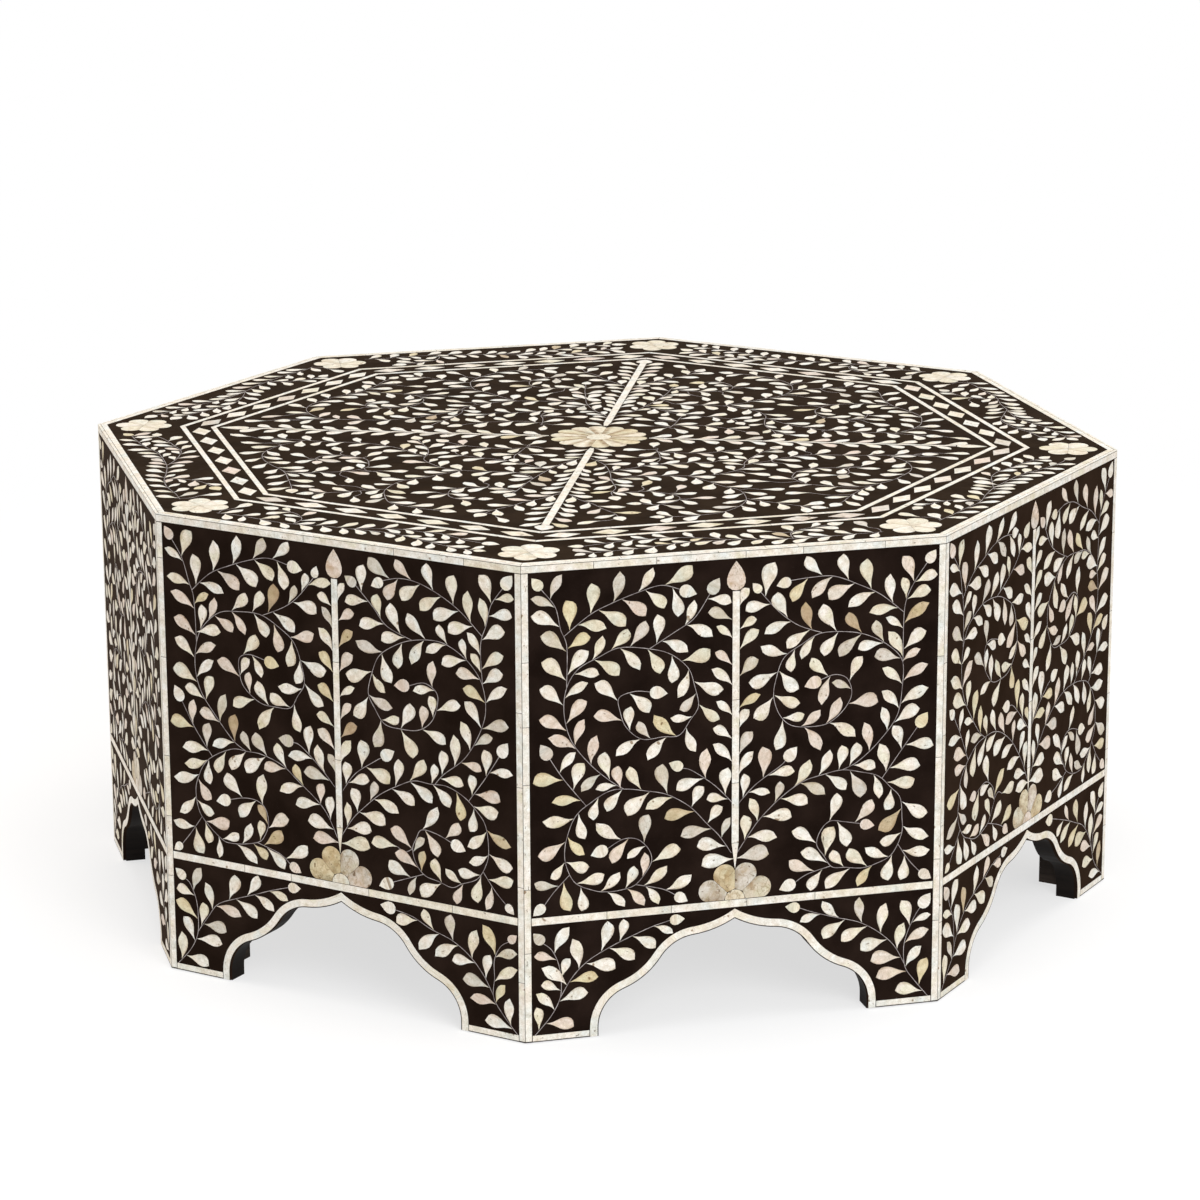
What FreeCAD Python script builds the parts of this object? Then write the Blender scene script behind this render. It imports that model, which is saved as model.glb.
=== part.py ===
import FreeCAD, Part
import math
import os

import Sketcher

# Octagonal coffee table: a mitred plywood carcass on eight bracket feet, its top and sides
# covered with strips, petals and diamonds of bone set in black resin.
# Frame: millimetres, +Z up, origin on the floor under the middle of the top.
# Side 1 faces -Y, and sides and corners are counted anticlockwise seen from above.

SIDES = 8
TURN = 360 / SIDES
HALF_TURN = TURN / 2
TAN_MITRE = math.tan(math.radians(HALF_TURN))
COS_MITRE = math.cos(math.radians(HALF_TURN))

# Driving dimensions, in millimetres and degrees
DIMENSIONS = {
    # Carcass
    "across_flats": 915,
    "height": 430,
    "side_board_thick": 19,
    "top_board_thick": 18,
    # Inlay layer over the carcass
    "inlay_thick": 3,
    "inlay_lift": 1,
    "bone_joint": 0.3,
    # Cusped arch between two feet
    "arch_half_width": 123.7,
    "arch_straight": 8,
    "arch_foot_radius": 36,
    "arch_foot_turn": 70,
    "arch_shoulder_radius": 68,
    "arch_shoulder_turn": 36,
    "arch_crown_radius": 40,
    "arch_crown_turn": 51,
    "arch_tip_radius": 90,
    "arch_band_wide": 7.5,
    # Bone frame of a side
    "top_band_high": 7,
    "stile_wide": 6,
    "rail_gap": 1.6,
    "rail_high": 6.7,
    "foot_band_high": 6,
    # Flower, stem and bud of a side
    "side_petal_reach": 24.6,
    "side_petal_join": 0.8,
    "side_boss_radius": 9,
    "stem_gap": 1.1,
    "stem_wide": 6.2,
    "stem_taper": 26,
    "side_bud_long": 26,
    "side_bud_wide": 16.8,
    "side_bud_shoulder": 11,
    "side_bud_inset": 2.3,
    # Rim and corner rosettes of the top
    "rim_wide": 5.5,
    "corner_rosette_gap": 6.7,
    "corner_petal_reach": 17.5,
    "corner_petal_join": 1.25,
    # Border of diamonds between two strips, inside the corner rosettes
    "border_rosette_gap": 8.6,
    "border_strip_wide": 5,
    "diamond_long": 34,
    "diamond_wide": 17.5,
    "diamond_edge_gap": 3,
    # Centre rosette of the top
    "centre_petal_reach": 38,
    "centre_petal_join": 0.55,
    "centre_boss_radius": 12,
    # Spokes of the top
    "spoke_start_gap": 7,
    "spoke_end_gap": 4,
    "bar_inner_wide": 5,
    "bar_outer_wide": 7,
    "bar_bud_long": 19,
    "bar_bud_wide": 17,
    "bar_bud_shoulder": 11,
    "stem_spoke_wide": 3,
    "stem_bud_long": 29,
    "stem_bud_wide": 13,
    "stem_bud_shoulder": 8.5,
    # Corner posts, cleats and rails inside
    "post_set_back": 8.7,
    "post_thick": 22,
    "post_foot_gap": 8,
    "cleat_wide": 28,
    "cleat_high": 24,
    "cleat_end_gap": 2,
    "under_rail_wide": 22,
    "under_rail_high": 40,
    "rail_end_gap": 0.3,
    "lap_gap": 0.2,
}

# Counts and directions that the design fixes
DIAMONDS_PER_SIDE = 7
CORNER_PETALS = 6
CENTRE_PETALS = 14
SIDE_PETALS = 4
BAR_SPOKE_ANGLE = -HALF_TURN * 5
STEM_SPOKE_ANGLE = -HALF_TURN
LOBE_CUTS = (-40, 40)
FOOT_CUTS = (180, 225, 270, 315, 360)
BOSS_CUTS = tuple(range(0, 360, 30))
ARCH_ARCS = (("foot", 1), ("shoulder", -1), ("crown", 1), ("tip", -1))
BAND_CUTS = {"foot": 4, "shoulder": 3, "crown": 3, "tip": 2}
CUT_MARGIN = 10
MITRE_OVERCUT = 1

doc = FreeCAD.newDocument("InlaidTable")
sheet = doc.addObject("Spreadsheet::Sheet", "Sizes")
for row, (alias, number) in enumerate(DIMENSIONS.items(), start=1):
    sheet.set(f"A{row}", alias)
    sheet.set(f"B{row}", str(number))
    sheet.setAlias(f"B{row}", alias)
doc.recompute()


class Size:
    """A length with its value and the spreadsheet formula that gives it."""

    def __init__(self, value, formula):
        self.value = float(value)
        self.formula = formula

    def __add__(self, other):
        other = as_size(other)
        return Size(self.value + other.value, f"({self.formula} + {other.formula})")

    def __sub__(self, other):
        other = as_size(other)
        return Size(self.value - other.value, f"({self.formula} - {other.formula})")

    def __mul__(self, other):
        other = as_size(other)
        return Size(self.value * other.value, f"({self.formula} * {other.formula})")

    def __truediv__(self, other):
        other = as_size(other)
        return Size(self.value / other.value, f"({self.formula} / {other.formula})")

    def __neg__(self):
        return Size(-self.value, f"(0 - {self.formula})")


def as_size(number):
    if isinstance(number, Size):
        return number
    return Size(number, f"({float(number):.9f})")


def root(size):
    return Size(math.sqrt(size.value), f"sqrt({size.formula})")


def sine(angle):
    angle = as_size(angle)
    return Size(math.sin(math.radians(angle.value)), f"sin({angle.formula} * 1 deg)")


def cosine(angle):
    angle = as_size(angle)
    return Size(math.cos(math.radians(angle.value)), f"cos({angle.formula} * 1 deg)")


def arcsine(ratio):
    return Size(math.degrees(math.asin(ratio.value)), f"(asin({ratio.formula}) / 1 deg)")


def cell(alias):
    return Size(sheet.get(alias), f"Sizes.{alias}")


# Lengths that several pieces share
apothem = cell("across_flats") / 2
half_side = apothem * TAN_MITRE
height = cell("height")
inlay = cell("inlay_thick")
joint = cell("bone_joint")
core_apothem = apothem - inlay
inner_apothem = core_apothem - cell("side_board_thick")
top_board_low = height - inlay - cell("top_board_thick")


# Sketch helpers. A loop is a list of (x, y, bend): bend shapes the edge from this point to the
# next one, None for a straight edge or (radius, sense) for an arc, sense 1 turning left.

def origin_part(body, role):
    return next(part for part in body.Origin.OriginFeatures if part.Role == role)


def arc_edge(start, end, radius, sense):
    """Arc shorter than a half circle between two points, as Sketcher stores it."""
    chord = end - start
    middle = (start + end) / 2
    left = FreeCAD.Vector(-chord.y, chord.x, 0).normalize()
    rise = math.sqrt(max(radius ** 2 - (chord.Length / 2) ** 2, 0))
    centre = middle + left * (rise * sense)
    first, last = (start, end) if sense > 0 else (end, start)
    first_angle = math.atan2(first.y - centre.y, first.x - centre.x)
    last_angle = math.atan2(last.y - centre.y, last.x - centre.x)
    if last_angle < first_angle:
        last_angle += 2 * math.pi
    circle = Part.Circle(centre, FreeCAD.Vector(0, 0, 1), radius)
    return Part.ArcOfCircle(circle, first_angle, last_angle)


def add_bound(sketch, constraints):
    """Add (constraint, size) pairs, and tie each size to its spreadsheet formula."""
    first = sketch.ConstraintCount
    sketch.addConstraint([constraint for constraint, size in constraints])
    for index, (constraint, size) in enumerate(constraints, start=first):
        if size is not None:
            sketch.setExpression(f"Constraints[{index}]", size.formula)


def place_point(edge, end, x, y):
    """Constraints that hold one end of an edge at (x, y) from the origin."""
    return [
        (Sketcher.Constraint("DistanceX", -1, 1, edge, end, x.value), x),
        (Sketcher.Constraint("DistanceY", -1, 1, edge, end, y.value), y),
    ]


def draw_loop(sketch, loop):
    points = [(as_size(x), as_size(y)) for x, y, bend in loop]
    bends = [bend for x, y, bend in loop]
    spots = [FreeCAD.Vector(x.value, y.value, 0) for x, y in points]
    base = sketch.GeometryCount
    edges = []
    starts = []
    ends = []
    for index, bend in enumerate(bends):
        start = spots[index]
        end = spots[(index + 1) % len(spots)]
        if bend is None:
            edges.append(Part.LineSegment(start, end))
        else:
            edges.append(arc_edge(start, end, bend[0].value, bend[1]))
        clockwise = bend is not None and bend[1] < 0
        starts.append(2 if clockwise else 1)
        ends.append(1 if clockwise else 2)
    sketch.addGeometry(edges, False)
    constraints = []
    for index, bend in enumerate(bends):
        after = (index + 1) % len(bends)
        meet = Sketcher.Constraint("Coincident", base + index, ends[index], base + after, starts[after])
        constraints.append((meet, None))
        constraints += place_point(base + index, starts[index], *points[index])
        if bend is not None:
            radius = Sketcher.Constraint("Radius", base + index, bend[0].value)
            constraints.append((radius, bend[0]))
    add_bound(sketch, constraints)


def new_sketch(body, role, name, loops, lift=None):
    """Sketch on an origin plane, lifted along the plane's normal."""
    sketch = body.newObject("Sketcher::SketchObject", f"{body.Name}_{name}")
    sketch.AttachmentSupport = (origin_part(body, role), "")
    sketch.MapMode = "FlatFace"
    if lift is not None:
        sketch.setExpression("AttachmentOffset.Base.z", lift.formula)
    for loop in loops:
        draw_loop(sketch, loop)
    return sketch


def new_body(label):
    body = doc.addObject("PartDesign::Body", label)
    body.Label = label
    return body


def pad(body, sketch, length, inward=False):
    feature = body.newObject("PartDesign::Pad", f"{sketch.Name}_pad")
    feature.Profile = sketch
    feature.setExpression("Length", length.formula)
    feature.Reversed = inward
    body.Tip = feature
    return feature


def pocket(body, sketch, upward=False):
    feature = body.newObject("PartDesign::Pocket", f"{sketch.Name}_pocket")
    feature.Profile = sketch
    feature.Type = "ThroughAll"
    feature.Reversed = upward
    body.Tip = feature
    return feature


def repeat(body, feature, count):
    """Copies of a feature, evenly round the Z axis."""
    pattern = body.newObject("PartDesign::PolarPattern", f"{feature.Name}_round")
    pattern.Originals = [feature]
    pattern.Axis = (origin_part(body, "Z_Axis"), [""])
    pattern.Angle = 360
    pattern.Occurrences = count
    body.Tip = pattern
    return pattern


def stand_on_side(body, side):
    """Turn a body drawn with its outer face on the XZ plane to face outwards from one side."""
    angle = TURN * (side - 1)
    body.Placement.Rotation = FreeCAD.Rotation(FreeCAD.Vector(0, 0, 1), angle)
    body.setExpression("Placement.Base.x", (apothem * sine(angle)).formula)
    body.setExpression("Placement.Base.y", (-apothem * cosine(angle)).formula)


def turn_body(body, angle):
    body.Placement.Rotation = FreeCAD.Rotation(FreeCAD.Vector(0, 0, 1), angle)


def inlaid(label, blank, pieces):
    """Resin layer: the blank, less the bone that is bedded in it."""
    bone = doc.addObject("Part::Compound", f"{label}_bone")
    bone.Links = pieces
    resin = doc.addObject("Part::Cut", label)
    resin.Label = label
    resin.Base = blank
    resin.Tool = bone
    return resin


# Outlines

def box_loop(left, low, right, high):
    return [(left, low, None), (right, low, None), (right, high, None), (left, high, None)]


def mirrored(loop):
    """The same loop on the other side of the Y axis, kept anticlockwise."""
    flipped = [(-as_size(x), y) for x, y, bend in reversed(loop)]
    bends = [bend for x, y, bend in reversed(loop)]
    bends = bends[1:] + bends[:1]
    return [(x, y, bend) for (x, y), bend in zip(flipped, bends)]


def backwards(path):
    """An open path in the other direction: its bends turn the other way."""
    points = [(x, y) for x, y, bend in reversed(path)]
    bends = [bend and (bend[0], -bend[1]) for x, y, bend in reversed(path[:-1])]
    return [(x, y, bend) for (x, y), bend in zip(points, bends + [None])]


def arch_arcs(offset):
    """Arcs of the right half of the arch from the foot to the tip, moved out by offset. A heading
    is the direction of travel along the arc, in degrees from +X."""
    heading = as_size(90)
    x = cell("arch_half_width")
    y = cell("inlay_lift") + cell("arch_straight")
    arcs = []
    for name, sense in ARCH_ARCS:
        radius = cell(f"arch_{name}_radius")
        centre_x = x - radius * sine(heading) * sense
        centre_y = y + radius * cosine(heading) * sense
        moved = radius + offset * sense
        if name == "tip":
            last = as_size(180) - arcsine(centre_x / moved)
        else:
            last = heading + cell(f"arch_{name}_turn") * sense
        arcs.append({
            "name": name, "x": centre_x, "y": centre_y, "radius": moved, "sense": sense,
            "first": heading, "last": last,
        })
        x = centre_x + radius * sine(last) * sense
        y = centre_y - radius * cosine(last) * sense
        heading = last
    return arcs


def arch_point(arc, heading):
    reach = arc["radius"] * arc["sense"]
    return arc["x"] + reach * sine(heading), arc["y"] - reach * cosine(heading)


def arch_tip(offset):
    tip = arch_arcs(offset)[-1]
    return arch_point(tip, tip["last"])[1]


def arch_path(offset, low, straight_cuts=False):
    """Edge of the arch from the right foot over the tip to the left foot, moved out by offset: as
    true arcs, or as the straight cuts that back a band of short bone lengths."""
    half = [(cell("arch_half_width") + offset, low, None)]
    for arc in arch_arcs(offset):
        cuts = BAND_CUTS[arc["name"]] if straight_cuts else 1
        bend = None if straight_cuts else (arc["radius"], arc["sense"])
        for cut in range(cuts):
            heading = arc["first"] + (arc["last"] - arc["first"]) * (cut / cuts)
            half.append((*arch_point(arc, heading), bend))
    other = [(-x, y) for x, y, bend in reversed(half)]
    bends = [bend for x, y, bend in reversed(half)]
    return half + [(as_size(0), arch_tip(offset), bends[0])] + [
        (x, y, bend) for (x, y), bend in zip(other, bends[1:] + [None])
    ]


def petal_lobe(reach, join, count, whole=360):
    """Radius of a petal's round end, so that neighbours overlap by the join."""
    return reach * sine(whole / count / 2) + join


def petal_notch(reach, lobe, spread):
    """Distance from a rosette's middle to the notch between two petals."""
    half_pitch = reach * sine(spread / 2)
    return reach * cosine(spread / 2) + root(lobe * lobe - half_pitch * half_pitch)


def petal_path(x, y, first, spread, count, reach, lobe):
    """Scalloped edge of a rosette about (x, y), from angle first: each petal ends in a round lobe,
    sawn as a few straight cuts."""
    half = spread / 2
    notch = petal_notch(reach, lobe, spread)
    path = []
    for number in range(count + 1):
        start = first + spread * number
        path.append((x + notch * cosine(start), y + notch * sine(start), None))
        for cut in LOBE_CUTS:
            axis = start + half
            lobe_x = x + reach * cosine(axis) + lobe * cosine(axis + cut)
            lobe_y = y + reach * sine(axis) + lobe * sine(axis + cut)
            path.append((lobe_x, lobe_y, None))
    return path[:-len(LOBE_CUTS)]


def bud_loop(low, long, wide, shoulder):
    """Pointed bud along +Y: a round foot, and flanks that bow out to the shoulder width half way up."""
    radius = wide / 2
    foot = [(radius * cosine(cut), low + radius + radius * sine(cut), None) for cut in FOOT_CUTS]
    middle = low + radius + (long - radius) / 2
    return foot + [
        (shoulder / 2, middle, None),
        (as_size(0), low + long, None),
        (-shoulder / 2, middle, None),
    ]


def side_plan_loop(outer_depth, inner_depth):
    """Plan of a mitred board between two depths behind the outer face."""
    outer = half_side - outer_depth * TAN_MITRE
    inner = half_side - inner_depth * TAN_MITRE
    return [
        (-outer, outer_depth, None),
        (outer, outer_depth, None),
        (inner, inner_depth, None),
        (-inner, inner_depth, None),
    ]


def octagon_loop(distance):
    """Octagon with flats towards the axes, at a distance from the middle."""
    reach = distance / COS_MITRE
    angles = [HALF_TURN + TURN * corner for corner in range(SIDES)]
    return [(reach * cosine(angle), reach * sine(angle), None) for angle in angles]


def strip_loop(outer, wide):
    """One side of an octagonal border, mitred, with half a joint left at each end."""
    inner = outer - wide
    outer_half = outer * TAN_MITRE - joint / 2
    inner_half = inner * TAN_MITRE - joint / 2
    return [
        (-outer_half, -outer, None),
        (outer_half, -outer, None),
        (inner_half, -inner, None),
        (-inner_half, -inner, None),
    ]


# Sides

rail_low = arch_tip(cell("arch_band_wide")) + cell("rail_gap")
rail_top = rail_low + cell("rail_high")


def cut_arch(body):
    low = as_size(-CUT_MARGIN)
    sketch = new_sketch(body, "XZ_Plane", "arch", [arch_path(as_size(0), low)])
    pocket(body, sketch)


def make_side_slab(label, side, depth, thick, low, high):
    """Mitred upright slab with the arch cut through its lower edge."""
    body = new_body(label)
    plan = new_sketch(body, "XY_Plane", "plan", [side_plan_loop(depth, depth + thick)], low)
    pad(body, plan, high - low)
    cut_arch(body)
    stand_on_side(body, side)
    return body


def side_frame_loops():
    """Bone round a side: top band, stiles, rail, arch band and foot bands."""
    lift = cell("inlay_lift")
    stile = half_side - cell("stile_wide")
    band_low = height - cell("top_band_high")
    right_stile = box_loop(stile, lift, half_side, band_low - joint)
    arch_band = cell("arch_band_wide")
    band_back = arch_path(arch_band, lift, straight_cuts=True)
    arch = band_back + backwards(arch_path(as_size(0), lift))
    foot_start = cell("arch_half_width") + arch_band + joint
    right_foot = box_loop(foot_start, lift, stile - joint, lift + cell("foot_band_high"))
    return [
        box_loop(-half_side, band_low, half_side, height),
        right_stile,
        mirrored(right_stile),
        box_loop(-(stile - joint), rail_low, stile - joint, rail_top),
        arch,
        right_foot,
        mirrored(right_foot),
    ]


def cut_mitres(body):
    """Bevel both upright edges of an inlay layer, so that neighbours meet on the corner."""
    depth = inlay + MITRE_OVERCUT
    margin = half_side + CUT_MARGIN
    wedge = [
        (half_side, as_size(0), None),
        (margin, as_size(0), None),
        (margin, depth, None),
        (half_side - depth * TAN_MITRE, depth, None),
    ]
    sketch = new_sketch(body, "XY_Plane", "mitre", [wedge, mirrored(wedge)])
    pocket(body, sketch, upward=True)


def make_side_frame(side):
    body = new_body(f"side_frame_{side}")
    face = new_sketch(body, "XZ_Plane", "face", side_frame_loops())
    pad(body, face, inlay, inward=True)
    cut_mitres(body)
    stand_on_side(body, side)
    return body


def side_flower_loops():
    """Half rosette on the rail, the tapered stem above it and the bud at its top."""
    base = rail_top + joint
    reach = cell("side_petal_reach")
    lobe = petal_lobe(reach, cell("side_petal_join"), SIDE_PETALS, whole=180)
    spread = 180 / SIDE_PETALS
    petals = petal_path(as_size(0), base, 0, spread, SIDE_PETALS, reach, lobe)
    boss = cell("side_boss_radius")
    seat = boss + joint
    seat_edge = [(seat * cosine(cut), base - seat * sine(cut), None) for cut in FOOT_CUTS]
    half_boss = [(boss * cosine(cut), base - boss * sine(cut), None) for cut in reversed(FOOT_CUTS)]
    loops = [petals + seat_edge, half_boss]
    bud_low = height - cell("top_band_high") - cell("side_bud_inset") - cell("side_bud_long")
    stem = cell("stem_wide") / 2
    stem_low = base + petal_notch(reach, lobe, spread) + cell("stem_gap")
    loops.append([
        (as_size(0), stem_low, None),
        (stem, stem_low + cell("stem_taper"), None),
        (stem, bud_low - joint, None),
        (-stem, bud_low - joint, None),
        (-stem, stem_low + cell("stem_taper"), None),
    ])
    loops.append(bud_loop(bud_low, cell("side_bud_long"), cell("side_bud_wide"), cell("side_bud_shoulder")))
    return loops


def make_side_flower(side):
    body = new_body(f"side_flower_{side}")
    face = new_sketch(body, "XZ_Plane", "face", side_flower_loops())
    pad(body, face, inlay, inward=True)
    stand_on_side(body, side)
    return body


def make_side(side):
    """Board, bone and resin of one side, outermost layer last."""
    board = make_side_slab(
        f"side_board_{side}", side, inlay, cell("side_board_thick"), as_size(0), top_board_low)
    blank = make_side_slab(
        f"side_inlay_{side}", side, as_size(0), inlay, cell("inlay_lift"), height)
    frame = make_side_frame(side)
    flower = make_side_flower(side)
    resin = inlaid(f"side_resin_{side}", blank, [frame, flower])
    return [board, frame, flower, resin]


# Top

def make_top_slab(label, low, thick):
    body = new_body(label)
    plan = new_sketch(body, "XY_Plane", "plan", [octagon_loop(core_apothem)], low)
    pad(body, plan, thick)
    return body


def make_top_pattern(label, loops, count, angle=0):
    """Flat bone pieces in the top layer, repeated round the middle."""
    body = new_body(label)
    plan = new_sketch(body, "XY_Plane", "plan", loops, height - inlay)
    repeat(body, pad(body, plan, inlay), count)
    turn_body(body, angle)
    return body


def diamond_loops(middle):
    """Row of diamonds along the side that faces -Y, centred on the border's dark band."""
    pitch = middle * (2 * TAN_MITRE / DIAMONDS_PER_SIDE)
    long = cell("diamond_long") / 2
    wide = cell("diamond_wide") / 2
    loops = []
    for number in range(DIAMONDS_PER_SIDE):
        x = pitch * (number - (DIAMONDS_PER_SIDE - 1) / 2)
        loops.append([
            (x - long, -middle, None),
            (x, -middle - wide, None),
            (x + long, -middle, None),
            (x, -middle + wide, None),
        ])
    return loops


def corner_rosette_loop(middle, reach, lobe):
    """Six-petalled rosette about a point on the +Y axis."""
    path = petal_path(as_size(0), middle, 0, 360 / CORNER_PETALS, CORNER_PETALS, reach, lobe)
    return path[:-1]


def make_centre_rosette(reach, lobe):
    """Ring of petals about a round boss."""
    path = petal_path(as_size(0), as_size(0), 0, 360 / CENTRE_PETALS, CENTRE_PETALS, reach, lobe)
    radius = cell("centre_boss_radius")
    seat = radius + joint
    boss_edge = [(radius * cosine(cut), radius * sine(cut), None) for cut in BOSS_CUTS]
    seat_edge = [(seat * cosine(cut), seat * sine(cut), None) for cut in BOSS_CUTS]
    body = new_body("centre_rosette")
    ring = new_sketch(body, "XY_Plane", "petals", [path[:-1], seat_edge], height - inlay)
    pad(body, ring, inlay)
    boss = new_sketch(body, "XY_Plane", "boss", [boss_edge], height - inlay)
    pad(body, boss, inlay)
    return body


def make_top():
    """Top board, the bone let into its face, and the resin round the bone."""
    corner_reach = cell("corner_petal_reach")
    corner_lobe = petal_lobe(corner_reach, cell("corner_petal_join"), CORNER_PETALS)
    corner_radius = corner_reach + corner_lobe
    rim_inside = core_apothem - cell("rim_wide")
    corner_middle = (rim_inside - cell("corner_rosette_gap") - corner_radius) / COS_MITRE
    outer = (corner_middle - corner_radius - cell("border_rosette_gap")) * COS_MITRE
    strip = cell("border_strip_wide")
    dark_band = cell("diamond_wide") + cell("diamond_edge_gap") * 2
    inner = outer - strip - dark_band
    centre_reach = cell("centre_petal_reach")
    centre_lobe = petal_lobe(centre_reach, cell("centre_petal_join"), CENTRE_PETALS)
    start = centre_reach + centre_lobe + cell("spoke_start_gap")
    spoke_end = (inner - strip) / COS_MITRE - cell("spoke_end_gap")
    bar_bud_low = spoke_end - cell("bar_bud_long")
    stem_bud_low = spoke_end - cell("stem_bud_long")
    bar_in = cell("bar_inner_wide") / 2
    bar_out = cell("bar_outer_wide") / 2
    stem = cell("stem_spoke_wide") / 2
    bar = [
        (-bar_in, start, None),
        (bar_in, start, None),
        (bar_out, bar_bud_low - joint, None),
        (-bar_out, bar_bud_low - joint, None),
    ]
    bar_bud = bud_loop(bar_bud_low, cell("bar_bud_long"), cell("bar_bud_wide"), cell("bar_bud_shoulder"))
    stem_bud = bud_loop(stem_bud_low, cell("stem_bud_long"), cell("stem_bud_wide"), cell("stem_bud_shoulder"))
    bar_turn = BAR_SPOKE_ANGLE - 90
    stem_turn = STEM_SPOKE_ANGLE - 90
    diamond_line = outer - strip - dark_band / 2
    corner_rosette = corner_rosette_loop(corner_middle, corner_reach, corner_lobe)
    bone = [
        make_top_pattern("top_rim", [strip_loop(core_apothem, cell("rim_wide"))], SIDES),
        make_top_pattern("border_outer", [strip_loop(outer, strip)], SIDES),
        make_top_pattern("border_inner", [strip_loop(inner, strip)], SIDES),
        make_top_pattern("border_diamonds", diamond_loops(diamond_line), SIDES),
        make_top_pattern("corner_rosettes", [corner_rosette], SIDES, HALF_TURN),
        make_centre_rosette(centre_reach, centre_lobe),
        make_top_pattern("spoke_bars", [bar], 2, bar_turn),
        make_top_pattern("spoke_bar_buds", [bar_bud], 2, bar_turn),
        make_top_pattern("spoke_stems", [box_loop(-stem, start, stem, stem_bud_low - joint)], 2, stem_turn),
        make_top_pattern("spoke_stem_buds", [stem_bud], 2, stem_turn),
    ]
    board = make_top_slab("top_board", top_board_low, cell("top_board_thick"))
    blank = make_top_slab("top_inlay", height - inlay, inlay)
    return [board, *bone, inlaid("top_resin", blank, bone)]


# Inside

post_leg = inner_apothem * TAN_MITRE - cell("arch_half_width") - cell("post_set_back")


def make_corner_post(number):
    """Upright post glued into the corner after a side: two long faces lie on the boards."""
    body = new_body(f"corner_post_{number}")
    corner = inner_apothem / COS_MITRE
    thick = cell("post_thick")
    run_x = post_leg * COS_MITRE
    run_y = post_leg * math.sin(math.radians(HALF_TURN))
    in_x = thick * math.sin(math.radians(HALF_TURN))
    in_y = thick * COS_MITRE
    plan = [
        (as_size(0), -corner, None),
        (run_x, -corner + run_y, None),
        (run_x - in_x, -corner + run_y + in_y, None),
        (-run_x + in_x, -corner + run_y + in_y, None),
        (-run_x, -corner + run_y, None),
    ]
    low = cell("post_foot_gap")
    sketch = new_sketch(body, "XY_Plane", "plan", [plan], low)
    pad(body, sketch, top_board_low - low)
    turn_body(body, TURN * (number - 0.5))
    return body


def make_cleats():
    """Eight cleats in the angle between the top and the sides, from post to post."""
    body = new_body("top_cleats")
    half = inner_apothem * TAN_MITRE - post_leg - cell("cleat_end_gap")
    loop = box_loop(-half, -inner_apothem, half, -inner_apothem + cell("cleat_wide"))
    low = top_board_low - cell("cleat_high")
    sketch = new_sketch(body, "XY_Plane", "plan", [loop], low)
    repeat(body, pad(body, sketch, cell("cleat_high")), SIDES)
    return body


def make_rail(label, angle, notch_low, notch_high):
    """Rail under the top from cleat to cleat, notched where the two rails cross."""
    body = new_body(label)
    half = inner_apothem - cell("cleat_wide") - cell("rail_end_gap")
    wide = cell("under_rail_wide")
    low = top_board_low - cell("under_rail_high")
    plan = new_sketch(body, "XY_Plane", "plan", [box_loop(-half, -wide / 2, half, wide / 2)], low)
    pad(body, plan, cell("under_rail_high"))
    notch_half = wide / 2 + cell("lap_gap")
    loop = box_loop(-notch_half, notch_low, notch_half, notch_high)
    face = new_sketch(body, "XZ_Plane", "notch", [loop], wide / 2 + CUT_MARGIN)
    pocket(body, face)
    turn_body(body, angle)
    return body


def make_inside():
    lap = top_board_low - cell("under_rail_high") / 2
    half_lap = cell("lap_gap") / 2
    posts = [make_corner_post(number) for number in range(1, SIDES + 1)]
    lower = make_rail("under_rail_1", 0, lap - half_lap, top_board_low + CUT_MARGIN)
    low_end = top_board_low - cell("under_rail_high") - CUT_MARGIN
    upper = make_rail("under_rail_2", 90, low_end, lap + half_lap)
    return [*posts, make_cleats(), lower, upper]


nodes = []
for side in range(1, SIDES + 1):
    nodes += make_side(side)
nodes += make_top()
nodes += make_inside()
doc.recompute()

# Nothing is written unless every object of the document came out whole
for item in doc.Objects:
    if "Invalid" in item.State or "Error" in item.State:
        raise RuntimeError(f"{item.Name} failed: {item.State}")
for node in nodes:
    if node.Shape.isNull() or not node.Shape.isValid() or not node.Shape.Solids:
        raise RuntimeError(f"{node.Label} has no valid solid")

os.makedirs("parts", exist_ok=True)
for node in nodes:
    node.Shape.exportStep(f"parts/{node.Label}.step")
    print(node.Label, len(node.Shape.Solids), round(node.Shape.Volume))
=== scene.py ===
# %% [markdown]
# # An octagonal coffee table inlaid with bone
# The table is a plywood box with eight sides. Its outside is covered with small pieces of bone, glued
# down in the pattern of a flowering vine, and black resin is cast between them and sanded flush.
# This lesson dresses the plain CAD model of the table: resin slabs, bone strips, flowers, vines and
# some two thousand leaves, each with a procedural finish.

# %% Load the frame
import math
import random

import bpy
import numpy as np
from mathutils import Matrix, Quaternion, Vector


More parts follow.
